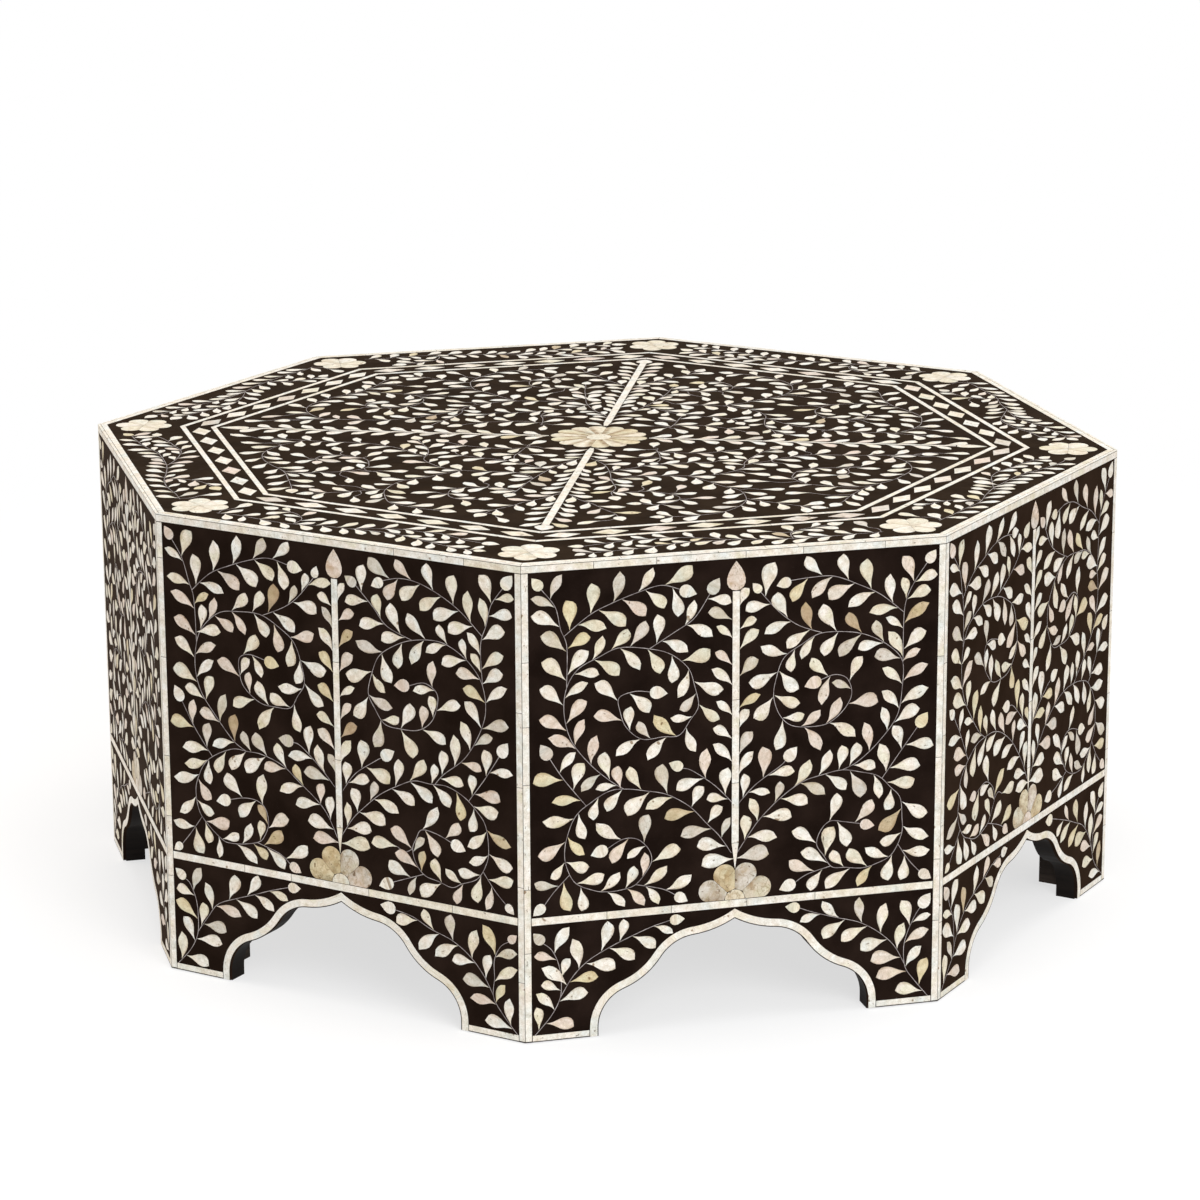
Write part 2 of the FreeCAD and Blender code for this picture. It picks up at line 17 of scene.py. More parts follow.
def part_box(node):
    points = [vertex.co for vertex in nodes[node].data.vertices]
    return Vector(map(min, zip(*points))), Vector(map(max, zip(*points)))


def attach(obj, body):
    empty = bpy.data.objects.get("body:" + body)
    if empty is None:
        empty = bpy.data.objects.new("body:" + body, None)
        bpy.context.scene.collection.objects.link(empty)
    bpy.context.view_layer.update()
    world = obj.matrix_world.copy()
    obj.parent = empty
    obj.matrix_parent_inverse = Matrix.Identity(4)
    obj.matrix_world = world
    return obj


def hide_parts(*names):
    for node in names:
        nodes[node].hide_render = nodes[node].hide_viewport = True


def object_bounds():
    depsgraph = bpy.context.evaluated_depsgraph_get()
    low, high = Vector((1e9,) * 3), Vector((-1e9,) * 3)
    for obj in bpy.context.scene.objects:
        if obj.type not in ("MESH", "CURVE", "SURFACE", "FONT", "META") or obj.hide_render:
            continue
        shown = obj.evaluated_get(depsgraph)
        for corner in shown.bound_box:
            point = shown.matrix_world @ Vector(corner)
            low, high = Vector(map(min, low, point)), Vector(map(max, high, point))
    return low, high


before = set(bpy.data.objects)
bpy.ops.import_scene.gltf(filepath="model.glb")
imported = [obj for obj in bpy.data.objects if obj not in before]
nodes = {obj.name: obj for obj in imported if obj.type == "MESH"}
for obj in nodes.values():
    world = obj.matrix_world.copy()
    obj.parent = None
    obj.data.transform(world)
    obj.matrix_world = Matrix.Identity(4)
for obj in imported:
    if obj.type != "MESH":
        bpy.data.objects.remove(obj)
cad_low, cad_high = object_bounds()
scene = bpy.context.scene
scene.view_settings.view_transform = "Standard"
print("CAD nodes:", len(nodes), "box:", cad_low[:], cad_high[:])

# %% [markdown]
# ## Sizes
# Every pattern below is drawn flat, in millimetres, as a craftsperson would draw it on paper, and is then
# laid on its face of the table. A side is drawn from its middle: x to the right, y up from the floor.
# The top is drawn from its middle. The sizes that the CAD model fixes are read from the frame.

# %% Sizes that the frame gives
MM = 0.001
SIDES = 8
TURN = math.radians(360 / SIDES)
TAN_MITRE = math.tan(TURN / 2)
COS_MITRE = math.cos(TURN / 2)

apothem = cad_high.y / MM
top_height = cad_high.z / MM
half_side = apothem * TAN_MITRE
core_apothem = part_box("top_board")[1].y / MM
inlay_thick = apothem - core_apothem
inlay_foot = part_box("side_resin_1")[0].z / MM

RESIN_SINK = 0.1
PLATE_DEPTH = 0.7
BONE_JOINT = 0.45
print("across flats", round(2 * apothem, 1), "height", round(top_height, 1), "inlay", round(inlay_thick, 1))


# %% Places on the table
def ray(angle, reach=1):
    """Point a reach away from the middle, in the direction of an angle."""
    return reach * math.cos(angle), reach * math.sin(angle)


def side_place(side):
    """Matrix that lays a drawing on a side: x to the right, y up, z out of the face."""
    out = Vector((*ray(TURN * (side - 1) - math.pi / 2), 0))
    right = Vector((-out.y, out.x, 0))
    place = Matrix((right, Vector((0, 0, 1)), out)).transposed().to_4x4()
    place.translation = out * apothem * MM
    return place


top_place = Matrix.Translation((0, 0, top_height * MM))
side_places = {side: side_place(side) for side in range(1, SIDES + 1)}
print("places for drawings: the top and", len(side_places), "sides")

# %% [markdown]
# ## Camera, floor and light
# A white studio: one pale floor, a white world and four soft lamps. The camera stands where the
# photograph's did, with a long lens, so the table's edges converge only a little.

# %% Camera
EYE = Vector((-0.9263, -3.5028, 1.2468))
LOOK = Vector((0.2469, 0.9332, -0.2610))
ROLL = math.radians(-0.26)
LENS = 115.6
SENSOR = 36


def add_object(name, data):
    """Object that shows a mesh, lamp or camera in the scene."""
    shown = bpy.data.objects.new(name, data)
    scene.collection.objects.link(shown)
    return shown


camera_data = bpy.data.cameras.new("camera")
camera_data.lens = LENS
camera_data.sensor_width = SENSOR
camera = add_object("camera", camera_data)
camera.location = EYE
camera.rotation_mode = "QUATERNION"
camera.rotation_quaternion = LOOK.to_track_quat("-Z", "Y") @ Quaternion((0, 0, 1), ROLL)
scene.camera = camera
print("camera at", EYE[:], "with a lens of", LENS, "mm")


# %% Node helpers
def feed(tree, node, values):
    """Give a node's inputs, by name or number, plain values or links from the sockets of other nodes."""
    for key, value in values.items():
        if isinstance(value, bpy.types.NodeSocket):
            tree.links.new(value, node.inputs[key])
        else:
            node.inputs[key].default_value = value


def add_node(tree, kind, values=None, out=0, **settings):
    """Add a node with its settings and inputs. Returns the output with that name or number."""
    node = tree.nodes.new(kind)
    for name, value in settings.items():
        setattr(node, name, value)
    feed(tree, node, values or {})
    return node.outputs[out]


def reckon(tree, operation, *values):
    """Result of a Math node on sockets or numbers."""
    return add_node(tree, "ShaderNodeMath", dict(enumerate(values)), operation=operation)


def remap(tree, value, low, high, to_low, to_high, smooth="LINEAR"):
    spans = {"From Min": low, "From Max": high, "To Min": to_low, "To Max": to_high}
    return add_node(tree, "ShaderNodeMapRange", {"Value": value, **spans}, interpolation_type=smooth)


def own_place(tree):
    """Place on a piece, in the piece's own coordinates."""
    return add_node(tree, "ShaderNodeTexCoord", out="Object")


def new_finish(name, roughness):
    """Material with a Principled BSDF and nothing linked yet."""
    material = bpy.data.materials.new(name)
    material.use_nodes = True
    tree = material.node_tree
    skin = next(node for node in tree.nodes if node.type == "BSDF_PRINCIPLED")
    skin.inputs["Roughness"].default_value = roughness
    return material, tree, skin


# %% White world
AMBIENT = 0.62
WHITE = (1, 1, 1, 1)
scene.world = bpy.data.worlds.new("studio")
scene.world.use_nodes = True
sky = scene.world.node_tree
sky.nodes.clear()
rays = sky.nodes.new("ShaderNodeLightPath").outputs
seen = reckon(sky, "MAXIMUM", rays["Is Camera Ray"], rays["Is Glossy Ray"])
seen = reckon(sky, "MAXIMUM", seen, rays["Is Transmission Ray"])
dim = add_node(sky, "ShaderNodeBackground", {"Color": WHITE, "Strength": AMBIENT})
bright = add_node(sky, "ShaderNodeBackground", {"Color": WHITE, "Strength": 1})
either = add_node(sky, "ShaderNodeMixShader", {0: seen, 1: dim, 2: bright})
feed(sky, sky.nodes.new("ShaderNodeOutputWorld"), {"Surface": either})
print("white world, lighting the table at", AMBIENT)

# %% Soft lamps
MIDDLE = Vector((0, 0, 0.25))
WARM_WHITE = (1, 0.85, 0.7)
WARMER_WHITE = (1, 0.78, 0.58)


def soft_lamp(name, place, size, power, colour=(1, 1, 1)):
    """Round lamp that looks at the middle of the table."""
    data = bpy.data.lights.new(name, "AREA")
    data.color = colour
    data.shape = "DISK"
    data.size = size
    data.energy = power
    lamp = add_object(name, data)
    lamp.location = place
    lamp.rotation_mode = "QUATERNION"
    lamp.rotation_quaternion = (MIDDLE - Vector(place)).to_track_quat("-Z", "Y")


soft_lamp("key_lamp", (0.3, -3.4, 2.2), 2.0, 66)
soft_lamp("overhead_lamp", (0, -0.4, 3.6), 2.4, 47)
soft_lamp("right_back_lamp", (2.6, 1.6, 1.5), 2.0, 20, WARM_WHITE)
soft_lamp("left_back_lamp", (-2.6, 1.6, 1.5), 2.0, 22, WARMER_WHITE)
print("lamps:", [lamp.name for lamp in bpy.data.lights])

# %% Floor
FLOOR_HALF = 3000
FLOOR_FADE = (0.8, 1.9)
FLOOR_GREY = (0.32, 0.32, 0.32, 1)
FLOOR_GLOW = 0.68


def paper_floor():
    """Pale floor that holds the table's shadow and fades into the white background further out."""
    material, tree, skin = new_finish("paper_floor", 0.9)
    distance = add_node(tree, "ShaderNodeVectorMath", {0: own_place(tree)}, "Value", operation="LENGTH")
    feed(tree, skin, {
        "Base Color": FLOOR_GREY, "Specular IOR Level": 0,
        "Emission Color": WHITE, "Emission Strength": FLOOR_GLOW,
        "Alpha": remap(tree, distance, *FLOOR_FADE, 1, 0, "SMOOTHSTEP")})
    return material


def new_mesh(name, corners, edges=(), faces=()):
    """Mesh with its corners given in millimetres."""
    mesh = bpy.data.meshes.new(name)
    mesh.from_pydata([(x * MM, y * MM, z * MM) for x, y, z in corners], edges, faces)
    return mesh


floor_corners = [(x * FLOOR_HALF, y * FLOOR_HALF, 0) for x, y in ((-1, -1), (1, -1), (1, 1), (-1, 1))]
floor = add_object("floor", new_mesh("floor", floor_corners, faces=[(0, 1, 2, 3)]))
floor.data.materials.append(paper_floor())
print("floor", 2 * FLOOR_HALF * MM, "m wide")

# %% [markdown]
# ## Finishes
# Bone is ivory, but no two pieces match: each carries its own `tint`, a number that a colour ramp turns
# into cream, pearl, rose or tan. Its grain is drawn along the piece, in coordinates that the piece
# carries with it as an attribute, so the streaks turn with every leaf. The grain is a node group, because
# the pale bone of the leaves and the stained bone of the flowers share it. Leaves are browned a little along
# their edge, and petals are scorched along the flank where the next petal seems to lie on top.


# %% Shader helpers
def ramp(tree, factor, stops):
    """Colour that a ramp with the given stops turns the factor into."""
    node = tree.nodes.new("ShaderNodeValToRGB")
    elements = node.color_ramp.elements
    while len(elements) < len(stops):
        elements.new(0.5)
    for element, (place, colour) in zip(elements, stops):
        element.position = place
        element.color = (*colour, 1)
    feed(tree, node, {"Fac": factor})
    return node.outputs["Color"]


def mix_colour(tree, blend, factor, first, second):
    """Mix of two colours, which are a Mix node's inputs 6 and 7 and its output 2."""
    values = {0: factor, 6: first, 7: second}
    return add_node(tree, "ShaderNodeMix", values, 2, data_type="RGBA", blend_type=blend)


def darken(tree, factor, colour, shade):
    return mix_colour(tree, "MULTIPLY", factor, colour, (*shade, 1))


def scaled(tree, vector, scale):
    return add_node(tree, "ShaderNodeVectorMath", {0: vector, 1: scale}, operation="MULTIPLY")


def noise(tree, vector, scale, detail, roughness=0.55):
    values = {"Vector": vector, "Scale": scale, "Detail": detail, "Roughness": roughness}
    return add_node(tree, "ShaderNodeTexNoise", values)


def bumps(tree, height, strength, distance):
    """Normal of a surface with bumps of that height."""
    return add_node(tree, "ShaderNodeBump", {"Height": height, "Strength": strength, "Distance": distance})


def carried(tree, name, out):
    """Value that a piece carries with it as an attribute."""
    return add_node(tree, "ShaderNodeAttribute", out=out, attribute_name=name)


# %% Bone grain, a shared node group
IVORY = (
    (0.0, (0.82, 0.78, 0.65)),
    (0.15, (0.90, 0.88, 0.82)),
    (0.3, (0.885, 0.88, 0.85)),
    (0.42, (0.81, 0.775, 0.64)),
    (0.54, (0.84, 0.815, 0.74)),
    (0.66, (0.79, 0.69, 0.625)),
    (0.76, (0.66, 0.645, 0.60)),
    (0.88, (0.76, 0.69, 0.47)),
    (1.0, (0.50, 0.39, 0.27)),
)
# Painted sheen: random patches, some brighter than the bone, that stand in for a pearly reflection
PAINTED_PEARL_SHEEN = (
    (0.30, (0.90, 0.94, 0.96)),
    (0.45, (1.03, 1.03, 1.02)),
    (0.58, (1.03, 0.98, 0.95)),
    (0.72, (0.98, 0.96, 0.84)),
)
GRAIN_SOCKETS = (
    ("Tint", "INPUT", "Float"), ("Grain", "INPUT", "Vector"), ("Stain", "INPUT", "Float"),
    ("Rim", "INPUT", "Float"), ("Color", "OUTPUT", "Color"), ("Roughness", "OUTPUT", "Float"),
    ("Height", "OUTPUT", "Float"))
TINT_SHIFT = (41, 67, 23)
EVEN = (1, 1, 1)
# Name, stretch, scale and detail of the noise, where it starts and is full, how strong it gets, colour
GRAIN_LAYERS = (
    ("clouds", EVEN, 4.5, 3, (0.34, 0.68), 1, (0.80, 0.775, 0.72)),
    ("flecks", EVEN, 30, 2, (0.42, 0.66), 0.7, (0.78, 0.75, 0.70)),
    ("streaks", (14, 2.2, 14), 3.2, 4, (0.54, 0.74), 0.5, (0.66, 0.60, 0.52)),
    ("specks", (2.2, 1, 2.2), 5, 2, (0.69, 0.73), 0.85, (0.26, 0.21, 0.17)),
    ("knots", EVEN, 3.4, 1, (0.735, 0.775), 0.9, (0.34, 0.25, 0.17)),
)
STAIN_COLOUR = (0.64, 0.50, 0.33)
CRACK_COLOUR = (0.52, 0.44, 0.34)
RIM_COLOUR = (0.50, 0.40, 0.29)


def make_bone_grain():
    """Bone from its tint and the place in its grain: a painted pearly sheen, patches of painted highlight and
    tinted reflection in the colour, and the layers of the grain, then stains and hair cracks by the amount of
    Stain, and a darker edge where Rim says so."""
    tree = bpy.data.node_groups.new("bone_grain", "ShaderNodeTree")
    for name, way, kind in GRAIN_SOCKETS:
        tree.interface.new_socket(name, in_out=way, socket_type=f"NodeSocket{kind}")
    given = tree.nodes.new("NodeGroupInput").outputs
    shift = {0: given["Tint"], 1: TINT_SHIFT, 2: given["Grain"]}
    grain = add_node(tree, "ShaderNodeVectorMath", shift, operation="MULTIPLY_ADD")
    # The painted pearly sheen multiplies the ivory tint
    painted_sheen = ramp(tree, noise(tree, grain, 1.3, 2), PAINTED_PEARL_SHEEN)
    colour = mix_colour(tree, "MULTIPLY", 1.0, ramp(tree, given["Tint"], IVORY), painted_sheen)
    masks = {}
    for name, stretch, scale, detail, span, strength, shade in GRAIN_LAYERS:
        spots = noise(tree, scaled(tree, grain, stretch), scale, detail)
        masks[name] = remap(tree, spots, *span, 0, strength)
        colour = darken(tree, masks[name], colour, shade)
    blotch = remap(tree, noise(tree, grain, 2.4, 5, 0.65), 0.44, 0.66, 0, 1)
    colour = darken(tree, reckon(tree, "MULTIPLY", blotch, given["Stain"]), colour, STAIN_COLOUR)
    beside = reckon(tree, "ABSOLUTE", reckon(tree, "SUBTRACT", noise(tree, grain, 1.9, 3), 0.5))
    crack = remap(tree, beside, 0.004, 0.02, 0.8, 0)
    colour = darken(tree, reckon(tree, "MULTIPLY", crack, given["Stain"]), colour, CRACK_COLOUR)
    pits = reckon(tree, "ADD", masks["streaks"], masks["specks"])
    feed(tree, tree.nodes.new("NodeGroupOutput"), {
        "Color": darken(tree, given["Rim"], colour, RIM_COLOUR),
        "Roughness": remap(tree, masks["clouds"], 0, 1, 0.34, 0.5),
        "Height": remap(tree, pits, 0, 1, 1, 0)})
    return tree


bone_grain = make_bone_grain()

# %% The bones
RIM_START = 0.74
SHADE_WIDE = 6.5
SHADE_FULL = 1.2
LEAF_HALF_WIDTHS = (
    (0.0, 0.04), (0.2, 0.14), (0.4, 0.34), (0.62, 0.49), (0.8, 0.49), (0.92, 0.34), (1.0, 0.1))


def leaf_rim(tree, grain_place):
    """Mask of a leaf's browned edge, from the place across the leaf as a share of its width there."""
    parts = add_node(tree, "ShaderNodeSeparateXYZ", {0: grain_place}).node.outputs
    half = ramp(tree, parts["Y"], [(at, (wide, wide, wide)) for at, wide in LEAF_HALF_WIDTHS])
    share = reckon(tree, "DIVIDE", reckon(tree, "ABSOLUTE", parts["X"]), half)
    return remap(tree, share, RIM_START / 2, 0.5, 0, 1)


def petal_shade(tree, grain_place):
    """Mask of a petal's scorched flank, from the depth in millimetres behind its joint with the next one."""
    shade = remap(tree, carried(tree, "shade", "Fac"), -SHADE_WIDE, -SHADE_FULL, 0, 1)
    return reckon(tree, "MULTIPLY", shade, remap(tree, noise(tree, grain_place, 2.6, 3), 0.36, 0.6, 0.2, 1))


def bone_finish(name, stain, edge=None, strength=0):
    """Bone finish. edge is the function that gives the mask of a piece's darker edge, if it has one."""
    material, tree, skin = new_finish(name, 0.42)
    grain_place = carried(tree, "grain", "Vector")
    values = {"Tint": carried(tree, "tint", "Fac"), "Grain": grain_place, "Stain": stain}
    if edge:
        values["Rim"] = remap(tree, edge(tree, grain_place), 0, 1, 0, strength)
    look = add_node(tree, "ShaderNodeGroup", node_tree=bone_grain).node
    feed(tree, look, values)
    feed(tree, skin, {
        "Base Color": look.outputs["Color"], "Roughness": look.outputs["Roughness"],
        "Specular IOR Level": 0.15, "Normal": bumps(tree, look.outputs["Height"], 0.12, 0.0002)})
    return material


leaf_bone = bone_finish("leaf_bone", 0.3, leaf_rim, 0.4)
# Paler copy of the leaf bone for the top, with less stain and a fainter browned edge: partly wear, partly
# painted light for the brighter top
lit_top_leaf_bone = bone_finish("lit_top_leaf_bone", 0.1, leaf_rim, 0.15)
pale_bone = bone_finish("pale_bone", 0.22)
flower_bone = bone_finish("flower_bone", 0.75, petal_shade, 0.8)
centre_bone = bone_finish("centre_bone", 0.35, petal_shade, 1.8)
corner_bone = bone_finish("corner_bone", 0.15, petal_shade, 0.5)

# %% [markdown]
# The resin is a near-black brown with faint cloudiness and fine sanding scratches. The top's is a little
# paler, partly worn by
# use and partly painted light: the brown sheen that light gives the top at a low angle is painted into its
# colour. The boards behind it are stained black, with the wood's grain still showing. The vines' stems are
# thin grey lines.


# %% Resin
def resin_finish(name, dark, light, bloom):
    """Resin between a dark and a light brown. bloom is the weight of its brown sheen at a low angle."""
    material, tree, skin = new_finish(name, 0.4)
    place = own_place(tree)
    colour = ramp(tree, noise(tree, place, 26, 5), [(0.37, dark), (0.66, light)])
    dust = remap(tree, noise(tree, place, 900, 2), 0.66, 0.76, 0, 0.25)
    scratches = noise(tree, scaled(tree, place, (1, 1, 6)), 160, 4)
    feed(tree, skin, {
        "Base Color": mix_colour(tree, "MIX", dust, colour, (0.05, 0.04, 0.034, 1)),
        "Roughness": remap(tree, scratches, 0.3, 0.7, 0.34, 0.5),
        "IOR": 1.015, "Specular Tint": (1, 0.8, 0.62, 1),
        "Sheen Weight": bloom, "Sheen Roughness": 0.6, "Sheen Tint": (1, 0.54, 0.22, 1),
        "Normal": bumps(tree, scratches, 0.08, 0.0002)})
    return material


# %% Stained wood and vine lines
def stained_wood(name, dark, light, rough):
    """Black-stained wood whose grain runs level on every upright board."""
    material, tree, skin = new_finish(name, rough)
    place = own_place(tree)
    long_grain = noise(tree, scaled(tree, place, (6, 6, 140)), 2.2, 6, 0.6)
    colour = ramp(tree, long_grain, [(0.3, dark), (0.7, light)])
    wear = remap(tree, noise(tree, place, 14, 5), 0.55, 0.75, 0, 0.5)
    worn = [1.6 * part for part in light]
    feed(tree, skin, {
        "Base Color": mix_colour(tree, "MIX", wear, colour, (*worn, 1)),
        "Roughness": remap(tree, long_grain, 0.3, 0.7, rough - 0.08, rough + 0.12),
        "IOR": 1.15, "Normal": bumps(tree, long_grain, 0.25, 0.0004)})
    return material


def vine_line_finish():
    material, tree, skin = new_finish("vine_line", 0.5)
    place = own_place(tree)
    greys = [(0.34, (0.17, 0.137, 0.135)), (0.66, (0.47, 0.42, 0.405))]
    feed(tree, skin, {
        "Base Color": ramp(tree, noise(tree, place, 120, 4), greys),
        "Roughness": remap(tree, noise(tree, place, 400, 2), 0.3, 0.7, 0.42, 0.62)})
    return material


black_resin = resin_finish("black_resin", (0.0080, 0.0048, 0.0040), (0.0165, 0.0100, 0.0080), 0.035)
# The top's copy is painted paler than the sides': partly wear, partly the painted sheen of light grazing the
# top, so its own sheen is weaker
worn_and_lit_resin = resin_finish("worn_and_lit_resin", (0.0130, 0.0085, 0.0055), (0.0230, 0.0150, 0.0095), 0.014)
board_wood = stained_wood("stained_board", (0.004, 0.003, 0.0026), (0.012, 0.009, 0.0075), 0.6)
batten_wood = stained_wood("stained_batten", (0.012, 0.009, 0.0075), (0.04, 0.03, 0.024), 0.62)
vine_line = vine_line_finish()
print("finishes:", [material.name for material in bpy.data.materials])

# %% [markdown]
# ## Boards and battens
# What stands behind the inlay already has its true shape in the CAD model: boards, corner posts, cleats
# and rails. They only need their finish.

# %% Dress the CAD boards
WOODS = {
    "side_board": board_wood, "top_board": board_wood,
    "corner_post": batten_wood, "top_cleats": batten_wood, "under_rail": batten_wood}
dressed = []
for name, node in nodes.items():
    wood = next((wood for start, wood in WOODS.items() if name.startswith(start)), None)
    if wood:
        node.data.materials.clear()
        node.data.materials.append(wood)
        dressed.append(name)
print("boards and battens:", len(dressed))

# %% [markdown]
# ## From flat drawings to plates
# All the bone is flat: leaves, petals, diamonds and strips are sawn from thin plates. So each pattern is
# first a flat mesh with one face for each piece, and one Geometry Nodes tree gives every face its
# thickness: it sinks the faces, extrudes each by itself and closes the back.


# %% Geometry Nodes helpers
def new_tree(name, **inputs):
    """Geometry tree with a geometry input and output, and the named inputs after it."""
    tree = bpy.data.node_groups.new(name, "GeometryNodeTree")
    for label, kind in {"Geometry": "Geometry", **inputs}.items():
        tree.interface.new_socket(label, in_out="INPUT", socket_type=f"NodeSocket{kind}")
    tree.interface.new_socket("Geometry", in_out="OUTPUT", socket_type="NodeSocketGeometry")
    return tree, tree.nodes.new("NodeGroupInput").outputs


def close_tree(tree, geometry, given):
    """The end of every tree: real meshes in place of instances, with the given material."""
    real = add_node(tree, "GeometryNodeRealizeInstances", {0: geometry})
    dressed = add_node(tree, "GeometryNodeSetMaterial", {0: real, "Material": given["Material"]})
    feed(tree, tree.nodes.new("NodeGroupOutput"), {0: dressed})
    return tree


def run_tree(piece, tree, values):
    """Give a piece the tree, set its inputs by identifier, and keep the result as a plain mesh."""
    modifier = piece.modifiers.new(tree.name, "NODES")
    modifier.node_group = tree
    for socket in tree.interface.items_tree:
        if socket.item_type == "SOCKET" and socket.in_out == "INPUT" and socket.name in values:
            modifier[socket.identifier] = values[socket.name]
    graph = bpy.context.evaluated_depsgraph_get()
    mesh = bpy.data.meshes.new_from_object(
        piece.evaluated_get(graph), preserve_all_data_layers=True, depsgraph=graph)
    piece.modifiers.clear()
    piece.data = mesh
    return mesh


# %% Tree that raises plates
MERGE_DISTANCE = 1e-6


def make_raise_plates():
    tree, given = new_tree("raise_plates", Depth="Float", Material="Material")
    down = add_node(tree, "ShaderNodeCombineXYZ", {"Z": reckon(tree, "MULTIPLY", given["Depth"], -1)})
    sunk = add_node(tree, "GeometryNodeSetPosition", {0: given["Geometry"], "Offset": down})
    rise = {0: sunk, "Individual": True, "Offset Scale": given["Depth"]}
    raised = add_node(tree, "GeometryNodeExtrudeMesh", rise, mode="FACES")
    back = add_node(tree, "GeometryNodeFlipFaces", {0: sunk})
    both = add_node(tree, "GeometryNodeJoinGeometry", {0: raised})
    feed(tree, both.node, {0: back})
    merged = add_node(tree, "GeometryNodeMergeByDistance", {0: both, "Distance": MERGE_DISTANCE})
    return close_tree(tree, merged, given)


raise_plates = make_raise_plates()

# %% [markdown]
# A drawn plate is an outline with a tint and the direction of its grain. The grain attribute measures
# along and across the piece, with the length of a leaf as the unit, so one bone finish suits them all.

# %% Drawn plates
LEAF_LONG = 26.5
UNSCORCHED = -99.0


def plate(points, tint, along=(1, 0), shades=None):
    """A drawn piece. shades says how far behind its scorched edge each point lies, if it has one."""
    shades = shades or [UNSCORCHED] * len(points)
    return {"points": points, "tint": tint, "along": along, "shades": shades}


def add_values(mesh, name, values, kind="FLOAT", field="value"):
    """Let the corners of a mesh carry values."""
    mesh.attributes.new(name, kind, "POINT").data.foreach_set(field, values)


def flat_mesh(name, plates):
    """One face for each plate, with its tint, shade and grain as attributes."""
    corners = []
    faces = []
    tints = []
    grains = []
    shades = []
    for drawn in plates:
        shades += drawn["shades"]
        start = len(corners)
        along_x, along_y = drawn["along"]
        for x, y in drawn["points"]:
            corners.append((x, y, 0))
            tints.append(drawn["tint"])
            length = (x * along_x + y * along_y) / LEAF_LONG
            across = (-x * along_y + y * along_x) / LEAF_LONG
            grains += [across, length, 0]
        faces.append(range(start, len(corners)))
    mesh = new_mesh(name, corners, faces=faces)
    add_values(mesh, "tint", tints)
    add_values(mesh, "shade", shades)
    add_values(mesh, "grain", grains, "FLOAT_VECTOR", "vector")
    return mesh


def settle(piece, place, replaced=None):
    """Lay a finished piece on its face and hand it to the frame: it rides on the table's one body."""
    piece.data.transform(place)
    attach(piece, "root")
    if replaced:
        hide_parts(replaced)


def lay_plates(name, plates, place, material, replaced=None, depth=PLATE_DEPTH):
    piece = add_object(name, flat_mesh(name, plates))
    mesh = run_tree(piece, raise_plates, {"Depth": depth * MM, "Material": material})
    for corner, grain in zip(mesh.vertices, mesh.attributes["grain"].data):
        grain.vector[2] = corner.co.z / MM / LEAF_LONG
    settle(piece, place, replaced)


# %% [markdown]
# ## The arch
# Each side is cut away below in a cusped arch: a foot curve, a shoulder that bends the other way, a crown
# and a pointed tip. It is drawn here as the joiner sets it out, four arcs that run into each other, so the
# same path, moved outwards, gives the bone band that follows it.

# %% Arch path
ARCH_HALF_WIDE = 123.7
ARCH_STRAIGHT = 8
ARCH_ARCS = ((36, 70, 1), (68, 36, -1), (40, 51, 1))
ARCH_TIP_RADIUS = 90
ARCH_TIP_STEPS = 8
ARC_STEP = math.radians(4)


def arch_half(offset):
    """Points of the arch's right half from the foot to the tip."""
    heading = math.pi / 2
    x = ARCH_HALF_WIDE
    y = inlay_foot + ARCH_STRAIGHT
    points = [(x + offset, inlay_foot)]
    arcs = [(radius, math.radians(turn), sense) for radius, turn, sense in ARCH_ARCS]
    tip = (ARCH_TIP_RADIUS, None, -1)
    for radius, turn, sense in arcs + [tip]:
        centre_x = x - radius * math.sin(heading) * sense
        centre_y = y + radius * math.cos(heading) * sense
        moved = radius + offset * sense
        steps = ARCH_TIP_STEPS
        if turn is None:
            turn = heading - (math.pi - math.asin(centre_x / moved))
        else:
            steps = round(turn / ARC_STEP)
        first = heading
        for step in range(steps + 1):
            heading = first + turn * sense * step / steps
            reach = moved * sense
            points.append((centre_x + reach * math.sin(heading), centre_y - reach * math.cos(heading)))
        x = centre_x + radius * sense * math.sin(heading)
        y = centre_y - radius * sense * math.cos(heading)
    return points


def arch_line(offset):
    """The whole arch from the right foot over the tip to the left foot."""
    half = arch_half(offset)
    other = [(-x, y) for x, y in reversed(half[:-1])]
    return half + other


print("arch tip at", round(arch_half(0)[-1][1], 1), "mm")

# %% [markdown]
# ## Resin slabs
# The resin is modelled as one slab on each face, a tenth of a millimetre below the bone, as resin ends
# up after sanding because it is softer. The bone plates are bedded in it.


# %% Lay the resin
def prism(name, front, back, material):
    """Closed solid between two outlines of as many points, front facing +z."""
    count = len(front)
    faces = [range(count), range(2 * count - 1, count - 1, -1)]
    for index in range(count):
        after = (index + 1) % count
        faces.append((index, count + index, count + after, after))
    mesh = new_mesh(name, front + back, faces=faces)
    mesh.materials.append(material)
    return add_object(name, mesh)


def resin_outline(depth):
    edge = (apothem - depth) * TAN_MITRE
    high = top_height - RESIN_SINK
    arch = [(x, y, -depth) for x, y in reversed(arch_line(0))]
    return [(-edge, inlay_foot, -depth)] + arch + [
        (edge, inlay_foot, -depth), (edge, high, -depth), (-edge, high, -depth)]


for side, place in side_places.items():
    slab = prism(f"resin_side_{side}", resin_outline(RESIN_SINK), resin_outline(inlay_thick), black_resin)
    settle(slab, place, f"side_resin_{side}")

corner_angles = [TURN * (corner + 0.5) for corner in range(SIDES)]


def octagon(distance, z):
    return [(*ray(angle, distance / COS_MITRE), z) for angle in corner_angles]


top_slab = prism(
    "resin_top", octagon(core_apothem, -RESIN_SINK), octagon(core_apothem, -inlay_thick), worn_and_lit_resin)
settle(top_slab, top_place, "top_resin")
print("resin slabs:", SIDES + 1)

